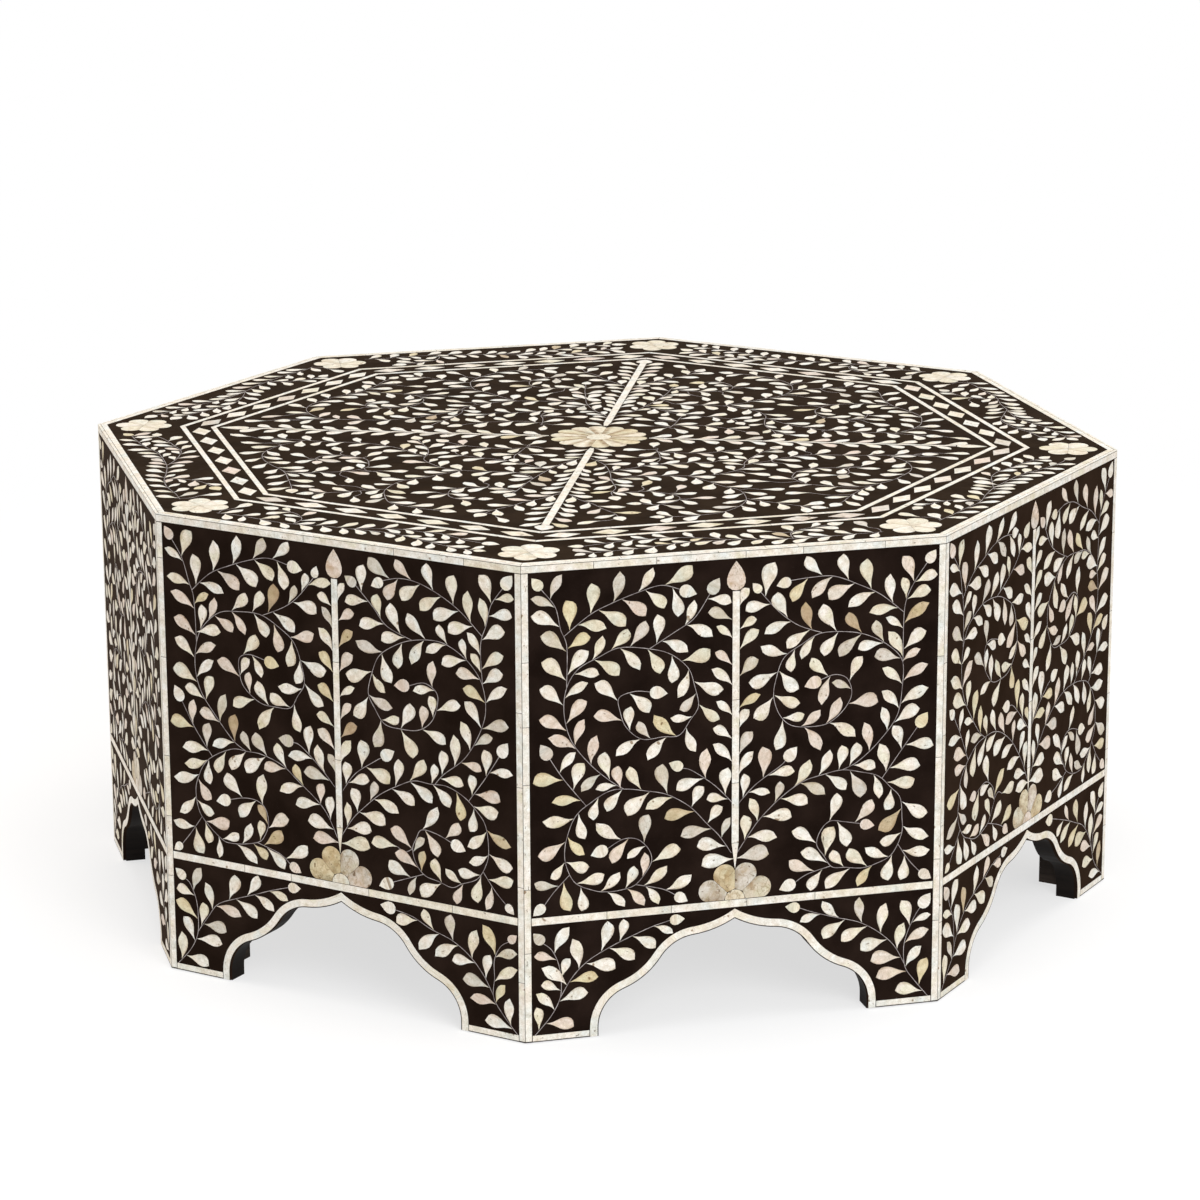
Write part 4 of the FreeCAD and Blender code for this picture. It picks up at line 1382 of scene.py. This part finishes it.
def settle_leaves(bed, leaves, gap):
    """Each leaf in turn takes the way that suits it best beside the others. Crowded ones are dropped."""
    solid = np.array(bed.solid)
    vines = np.array(bed.vines)
    for leaf in leaves:
        is_bud = leaf["pattern"] == BUD_PATTERN
        leaf["circles"] = way_circles(leaf["ways"], BUD_CIRCLES if is_bud else LEAF_CIRCLES)
        x, y = leaf["ways"][0, :2]
        gaps = room(leaf["circles"], solid[near(solid, x, y, BED_REACH)])
        if not is_bud:
            gaps = np.minimum(gaps, room(leaf["circles"][:, 1:], vines[near(vines, x, y, BED_REACH)]))
        leaf["fixed_room"] = gaps
        leaf["way"] = best_way(leaf, gaps)
    laid = np.stack([leaf["circles"][leaf["way"]] for leaf in leaves])
    alive = np.ones(len(leaves), bool)
    for round_number in range(SETTLE_ROUNDS):
        for number, leaf in enumerate(leaves):
            if not alive[number]:
                continue
            close = alive & near(laid[:, 2], *laid[number, 2, :2], LEAF_REACH)
            close[number] = False
            gaps = np.minimum(room(leaf["circles"], laid[close].reshape(-1, 3)) - gap, leaf["fixed_room"])
            leaf["way"] = best_way(leaf, gaps)
            laid[number] = leaf["circles"][leaf["way"]]
            crowded = gaps[leaf["way"]] < CROWDED and leaf["pattern"] != BUD_PATTERN
            alive[number] = round_number < PATIENT_ROUNDS or not crowded
    return [(*leaf["ways"][leaf["way"]], leaf["pattern"], leaf["tint"])
            for number, leaf in enumerate(leaves) if alive[number]]


# %% [markdown]
# The maker leaves no large patch bare. Where the widest open spot is left, one more leaf fills it, on a
# stalk that comes from a vine near by and passes the other leaves with the most room. Then the next
# widest spot follows, until only small ones are left.

# %% Room about a spot
SPOT_STEP = 5
STALK_REACH = 48
STALK_CHOICE = 14
STALK_SHARES = np.linspace(0.15, 1, 6)
CIRCLES_AT_ONCE = 300


def open_room(spots, circles):
    """Distance from each spot to the edge of the nearest circle."""
    free = np.full(len(spots), FAR_OFF)
    for some in np.array_split(circles, len(circles) // CIRCLES_AT_ONCE + 1):
        across = spots[:, None, 0] - some[None, :, 0]
        up = spots[:, None, 1] - some[None, :, 1]
        gaps = np.hypot(across, up) - some[None, :, 2]
        free = np.minimum(free, gaps.min(axis=1))
    return free


def grid_spots(low, high, wanted):
    """Spots of a square grid between two corners, where wanted says yes."""
    columns = np.arange(low[0], high[0], SPOT_STEP)
    rows = np.arange(low[1], high[1], SPOT_STEP)
    return np.array([(x, y) for x in columns for y in rows if wanted(x, y)])


def stalk_root(spot, reach, roots, circles):
    """The place on a vine from which a stalk reaches the open circle about a spot with the most room."""
    away = np.hypot(roots[:, 0] - spot[0], roots[:, 1] - spot[1])
    if away.min() > STALK_REACH:
        return None
    choice = roots[away < max(away.min(), reach) + STALK_CHOICE]
    shares = STALK_SHARES[None, :, None]
    entry = spot + (choice - spot) * (reach / np.hypot(*(choice - spot).T))[:, None]
    steps = choice[:, None, :] * (1 - shares) + entry[:, None, :] * shares
    free = open_room(steps.reshape(-1, 2), circles).reshape(len(choice), -1)
    return choice[int(np.argmax(free.min(axis=1)))]


# %% One more leaf for each bare spot
FILL_LONGS = (0.92, 1.06)
FILL_ROOM = 2.1
FILL_LEAN = 0.2
FILL_BASE = 0.56
STALK_BEND = 0.12


def fill_bare(rng, bed, laid, paths, spots, widest, long):
    """More leaves, each on its stalk, until no spot has more open room about it than the widest one."""
    roots = np.array([spot for path in paths for spot in path])
    places = np.array([leaf[:5] for leaf in laid])
    circles = np.concatenate((bed.solid, way_circles(places, LEAF_CIRCLES).reshape(-1, 3)))
    free = open_room(spots, np.concatenate((circles, bed.vines)))
    leaves = []
    stalks = []
    while free.max() > widest:
        best = int(np.argmax(free))
        spot = spots[best]
        size = min(long * rng.uniform(*FILL_LONGS), FILL_ROOM * free[best])
        root = stalk_root(spot, size / 2, roots, circles)
        if root is None:
            free[best] = 0
            continue
        run = spot - root
        angle = math.atan2(run[1], run[0]) + rng.uniform(-FILL_LEAN, FILL_LEAN)
        base = spot - np.array(ray(angle)) * size * FILL_BASE
        bend = np.array((-run[1], run[0])) * rng.choice((-STALK_BEND, STALK_BEND))
        stalks.append(smooth_path([tuple(root), tuple((root + base) / 2 + bend), tuple(base)]))
        way = (*base, angle, size, size * WIDTH_SHARE)
        new = way_circles(np.array([way]), LEAF_CIRCLES)[0]
        circles = np.concatenate((circles, new))
        stalk_circles = np.array([(x, y, VINE_CLEAR) for x, y in stalks[-1]])
        free = np.minimum(free, open_room(spots, np.concatenate((new, stalk_circles))))
        leaves.append((*way, rng.randrange(2 * len(LEAF_SHAPES)), leaf_tint(rng)))
    return leaves, stalks


# %% [markdown]
# A laid leaf is only a point that knows its turn, size, pattern and tint. One Geometry Nodes tree sets the
# pattern on every point of a face and raises it as a plate, so a few hundred leaves make one mesh. The vine
# is a thin greyish line in the resin: a second tree draws it by moving a small circle along each path.


# %% Tree that lays leaves
def make_lay_leaves():
    tree, given = new_tree("lay_leaves", Patterns="Collection", Depth="Float", Material="Material")

    def attribute(name, kind="FLOAT"):
        return add_node(tree, "GeometryNodeInputNamedAttribute", {"Name": name}, data_type=kind)

    patterns = {"Collection": given["Patterns"], "Separate Children": True}
    turn = add_node(tree, "ShaderNodeCombineXYZ", {"Z": attribute("turn")})
    size = {"X": attribute("wide"), "Y": attribute("long"), "Z": 1}
    laid = add_node(tree, "GeometryNodeInstanceOnPoints", {
        0: given["Geometry"], "Pick Instance": True,
        "Instance": add_node(tree, "GeometryNodeCollectionInfo", patterns),
        "Instance Index": attribute("pattern", "INT"),
        "Rotation": add_node(tree, "FunctionNodeEulerToRotation", {0: turn}),
        "Scale": add_node(tree, "ShaderNodeCombineXYZ", size)})
    real = add_node(tree, "GeometryNodeRealizeInstances", {0: laid})
    leaf = {0: real, "Depth": given["Depth"], "Material": given["Material"]}
    return close_tree(tree, add_node(tree, "GeometryNodeGroup", leaf, node_tree=raise_plates), given)


LEAF_DEPTH = 0.6
lay_leaves_tree = make_lay_leaves()


def lay_leaves(name, leaves, place, material):
    """Leaves as plates. A leaf is its x, y, angle, length, width, pattern and tint."""
    xs, ys, angles, longs, wides, patterns, tints = zip(*leaves)
    mesh = new_mesh(name, [(x, y, 0) for x, y in zip(xs, ys)])
    add_values(mesh, "turn", [angle - math.pi / 2 for angle in angles])
    add_values(mesh, "long", longs)
    add_values(mesh, "wide", wides)
    add_values(mesh, "pattern", patterns, "INT")
    add_values(mesh, "tint", tints)
    piece = add_object(name, mesh)
    values = {"Patterns": leaf_patterns, "Depth": LEAF_DEPTH * MM, "Material": material}
    run_tree(piece, lay_leaves_tree, values)
    settle(piece, place)


# %% Tree that draws vine lines
VINE_THICK = 1.0
VINE_CORNERS = 6


def make_draw_vines():
    tree, given = new_tree("draw_vines", Thickness="Float", Material="Material")
    circle = {"Resolution": VINE_CORNERS, "Radius": reckon(tree, "MULTIPLY", given["Thickness"], 0.5)}
    profile = add_node(tree, "GeometryNodeCurvePrimitiveCircle", circle)
    curve = add_node(tree, "GeometryNodeMeshToCurve", {0: given["Geometry"]})
    line = add_node(tree, "GeometryNodeCurveToMesh", {0: curve, "Profile Curve": profile, "Fill Caps": True})
    return close_tree(tree, line, given)


draw_vines_tree = make_draw_vines()


def draw_vines(name, paths, place):
    corners = []
    edges = []
    for path in paths:
        start = len(corners)
        corners += [(x, y, -VINE_THICK / 2) for x, y in path]
        edges += [(index, index + 1) for index in range(start, len(corners) - 1)]
    piece = add_object(name, new_mesh(name, corners, edges))
    run_tree(piece, draw_vines_tree, {"Thickness": VINE_THICK * MM, "Material": vine_line})
    settle(piece, place)


# %% The bed of a side
STEM_CLEAR = 0.6
STEM_CLEAR_LOW = 10
FLOWER_CLEAR = 1.5
BUD_SHOULDER = 0.7


def side_bed():
    """Everything on a side that leaves keep clear of."""
    bed = Bed()
    foot_high = inlay_foot + EDGE_LINE + FOOT_BAND_HIGH
    for x in (panel_half, -panel_half):
        bed.add_edge((x, inlay_foot), (x, band_low))
    for height in (band_low, RAIL_LOW, rail_top, foot_high):
        bed.add_edge((-panel_half, height), (panel_half, height))
    bed.add_line(arch_line(EDGE_LINE + ARCH_BAND_WIDE), EDGE_CLEAR)
    bed.add_edge((0, STEM_LOW + STEM_CLEAR_LOW), (0, side_bud_low), STEM_WIDE / 2 + STEM_CLEAR)
    for axis in flower_axes:
        x, y = ray(axis, FLOWER_REACH)
        bed.add_line([(x, rail_top + y)], FLOWER_LOBE + FLOWER_CLEAR)
    bud_belly = SIDE_BUD_WIDE / 2
    for up, radius in ((bud_belly, bud_belly), (SIDE_BUD_LONG * BUD_SHOULDER, bud_belly / 2)):
        bed.add_line([(0, side_bud_low + up)], radius + FLOWER_CLEAR)
    return bed


# %% Lay the leaves of the sides
LEAF_SEED = 300
LEAF_GAP = 3.2
SIDE_WIDEST = 13.5
STEM_FOOT = 4
ROOT_LEAVES = {"at": 6, "long": 32, "spread": math.radians(72), "base_gap": 0.4}
STEM_LEAVES = {"start": 70, "long": 23, "spread": math.radians(44), "base_gap": STEM_WIDE / 2}
side_spots = grid_spots(
    (-half_side, rail_top), (half_side, band_low),
    lambda x, y: abs(x) < panel_half and math.hypot(x, y - rail_top) > FLOWER_REACH)


def lay_side(side, place):
    rng = random.Random(LEAF_SEED + side)
    bed = side_bed()
    paths = []
    for sense in (1, -1):
        paths += grow_vines(rng, PANEL_VINES, sense) + grow_vines(rng, FOOT_VINES, sense)
    steps = int((side_bud_low - STEM_LOW) / PATH_STEP)
    stem = [(0, STEM_LOW + STEM_FOOT + PATH_STEP * step) for step in range(steps)]
    leaves = [leaf_ways(rng, stem, side=sense, **ROOT_LEAVES) for sense in (1, -1)]
    leaves += walk_vine(rng, stem, **STEM_LEAVES)
    leaves += leafy_vines(rng, bed, paths)
    laid = settle_leaves(bed, leaves, LEAF_GAP)
    more, stalks = fill_bare(rng, bed, laid, paths, side_spots, SIDE_WIDEST, LEAF_LONG)
    lay_leaves(f"vine_leaves_{side}", laid + more, place, leaf_bone)
    draw_vines(f"vine_lines_{side}", paths + stalks, place)
    return len(leaves), len(laid), len(more)


leaf_counts = [lay_side(side, place) for side, place in side_places.items()]
print("leaves tried, laid and added on each side:", leaf_counts)

# %% [markdown]
# ## Vines of the top
# The top repeats the idea. One quarter between two spokes is drawn, x along a stem spoke and y along a bar
# spoke, and the other three are its mirror images. The spokes are feathered with leaves, and a vine that
# forks on its way runs along each side of the band outside the border.

# %% Vines of a quarter
QUARTER_VINES = (
    ((4, 92), (20, 117), (31, 150), (37, 180), (42, 208), (43, 226), (46, 240)),
    ((4, 236), (18, 256), (32, 272), (42, 288), (54, 302), (60, 316)),
    ((36, 182), (43, 169), (56, 158), (75, 155), (104, 153), (125, 145), (141, 131), (150, 112), (151, 92),
     (155, 68), (164, 49), (170, 32)),
    ((152, 103), (170, 83), (186, 68), (209, 55), (231, 51), (254, 49), (274, 48), (293, 44), (312, 40)),
    ((280, 48), (296, 66), (304, 88), (305, 110), (300, 131), (289, 151), (272, 176), (261, 203), (254, 232),
     (250, 244)),
    ((274, 174), (258, 181), (244, 178), (220, 174), (208, 166), (199, 151), (198, 138), (203, 121),
     (217, 110), (233, 105), (247, 108), (251, 121), (249, 131)),
    ((104, 154), (124, 172), (138, 187), (156, 205), (165, 235), (161, 262), (150, 285), (136, 297),
     (118, 306), (99, 312)),
    ((165, 235), (177, 240), (194, 247), (212, 255), (227, 260)),
    ((42, 229), (59, 220), (77, 218), (93, 222), (103, 232), (106, 244), (101, 258), (88, 268), (74, 265)),
    ((31, 142), (48, 125), (62, 113), (84, 104), (102, 99), (120, 92), (128, 80)),
    ((62, 50), (66, 72), (69, 90), (68, 102)),
    ((63, 56), (84, 60), (104, 58), (124, 50), (140, 38)),
)
BAND_VINES = (
    ((0.10, 0.30), (0.16, 0.30), (0.24, 0.27), (0.32, 0.28), (0.40, 0.36), (0.48, 0.44), (0.58, 0.47),
     (0.65, 0.42), (0.72, 0.33), (0.80, 0.27), (0.86, 0.25)),
    ((0.48, 0.44), (0.54, 0.60), (0.60, 0.72), (0.66, 0.76), (0.72, 0.75), (0.80, 0.66), (0.86, 0.60)),
    ((0.33, 0.29), (0.31, 0.55), (0.255, 0.75), (0.18, 0.83)),
)


def top_paths(rng):
    """Vines of the four quarters, in the top's own coordinates."""
    right = Vector(ray(STEMS["angles"][0]))
    down = Vector(ray(BARS["angles"][0]))
    paths = []
    for along in (1, -1):
        for across in (1, -1):
            for path in grow_vines(rng, QUARTER_VINES, across):
                paths.append([tuple(right * x + down * y * along) for x, y in path])
    return paths


def band_paths(rng):
    """Vines of the outer band. A vine leaves the rosette at the end of a spoke and forks on its way to
    the next rosette. It is drawn as shares of the band's length and width."""
    paths = []
    for side in range(SIDES):
        sense = 1 if side % 2 else -1
        drawings = []
        for points in BAND_VINES:
            drawn = []
            for along, across in points:
                y = rim_edge + (BORDER_OUTER - rim_edge) * across
                drawn.append(((2 * along - 1) * y * TAN_MITRE, -y))
            drawings.append(drawn)
        paths += [spun(path, TURN * side) for path in grow_vines(rng, drawings, sense)]
    return paths


# %% The bed of the top
CORNER_CLEAR = 1.2
CENTRE_CLEAR = 1.5


def top_bed():
    """Everything on the top that leaves keep clear of, apart from the spokes."""
    bed = Bed()
    for distance in (rim_edge, BORDER_OUTER, field_edge):
        corners = [(x, y) for x, y, z in octagon(distance, 0)]
        for start, end in zip(corners, corners[1:] + corners[:1]):
            bed.add_edge(start, end)
    for angle in corner_angles:
        x, y = ray(angle, CORNER_ROSETTE)
        spots = [ray(axis, CORNER_REACH) for axis in full_turn(CORNER_PETALS, angle)]
        bed.add_line([(x + u, y + v) for u, v in spots], CORNER_LOBE + CORNER_CLEAR)
    bed.add_line([ray(axis, CENTRE_REACH) for axis in full_turn(CENTRE_PETALS)], CENTRE_LOBE + CENTRE_CLEAR)
    return bed


def on_field(x, y):
    """Whether a spot lies on the field inside the border, off the rosette, or on the band outside it."""
    distance = max(x * math.cos(TURN * side) + y * math.sin(TURN * side) for side in range(SIDES))
    return CENTRE_REACH < distance < field_edge or BORDER_OUTER < distance < rim_edge


# %% Lay the leaves of the top
TOP_LEAF_SEED = 17
TOP_LEAF_GAP = 4.0
TOP_WIDEST = 12
SPOKE_CLEAR = 0.4
SPOKE_BUD_CLEAR = 1
TINTED_SHARE = 0.4
BAR_FEATHERS = {"long": 22.5, "pitch": 19.5, "start": 1, "spread": math.radians(54), "base_gap": 3}
STEM_FEATHERS = {"long": 24, "pitch": 22, "start": 1, "spread": math.radians(36), "base_gap": 1.5}
FIELD_LEAVES = {"long": 23.5, "pitch": 25, "start": 6}
BAND_LEAVES = {"long": 22, "pitch": 20, "start": 6}
FILL_LEAF_LONG = 23
top_spots = grid_spots((-apothem, -apothem), (apothem, apothem), on_field)


def feather_spoke(rng, bed, angle, bud_long, feathers):
    """Leaves along both sides of a spoke. The bed takes up the spoke and its bud."""
    out = Vector(ray(angle))
    count = int((spoke_end - bud_long - SPOKE_START) / PATH_STEP)
    path = [tuple(out * (SPOKE_START + PATH_STEP * step)) for step in range(count)]
    bed.add_line(path[::2], feathers["base_gap"] + SPOKE_CLEAR)
    bed.add_line([tuple(out * (spoke_end - bud_long / 2))], bud_long / 3 + SPOKE_BUD_CLEAR)
    return walk_vine(rng, path, **feathers)


def sanded_and_lit(rng, leaves):
    """The same leaves, but most of them pale: partly because the top is sanded the most and tints are only
    skin deep, partly as painted light for the top, which faces the light.
    """
    pale = TINT_SHARES[0][1]
    return [(*rest, tint if rng.random() < TINTED_SHARE else rng.uniform(*pale)) for *rest, tint in leaves]


def lay_top():
    rng = random.Random(TOP_LEAF_SEED)
    bed = top_bed()
    leaves = []
    for spokes, feathers in ((BARS, BAR_FEATHERS), (STEMS, STEM_FEATHERS)):
        for angle in spokes["angles"]:
            leaves += feather_spoke(rng, bed, angle, spokes["bud"][0], feathers)
    inner = top_paths(rng)
    outer = band_paths(rng)
    leaves += leafy_vines(rng, bed, inner, **FIELD_LEAVES)
    leaves += leafy_vines(rng, bed, outer, **BAND_LEAVES)
    laid = settle_leaves(bed, leaves, TOP_LEAF_GAP)
    more, stalks = fill_bare(rng, bed, laid, inner + outer, top_spots, TOP_WIDEST, FILL_LEAF_LONG)
    lay_leaves("top_leaves", sanded_and_lit(rng, laid + more), top_place, lit_top_leaf_bone)
    draw_vines("top_vine_lines", inner + outer + stalks, top_place)
    return len(leaves), len(laid), len(more)


print("leaves tried, laid and added on the top:", lay_top())
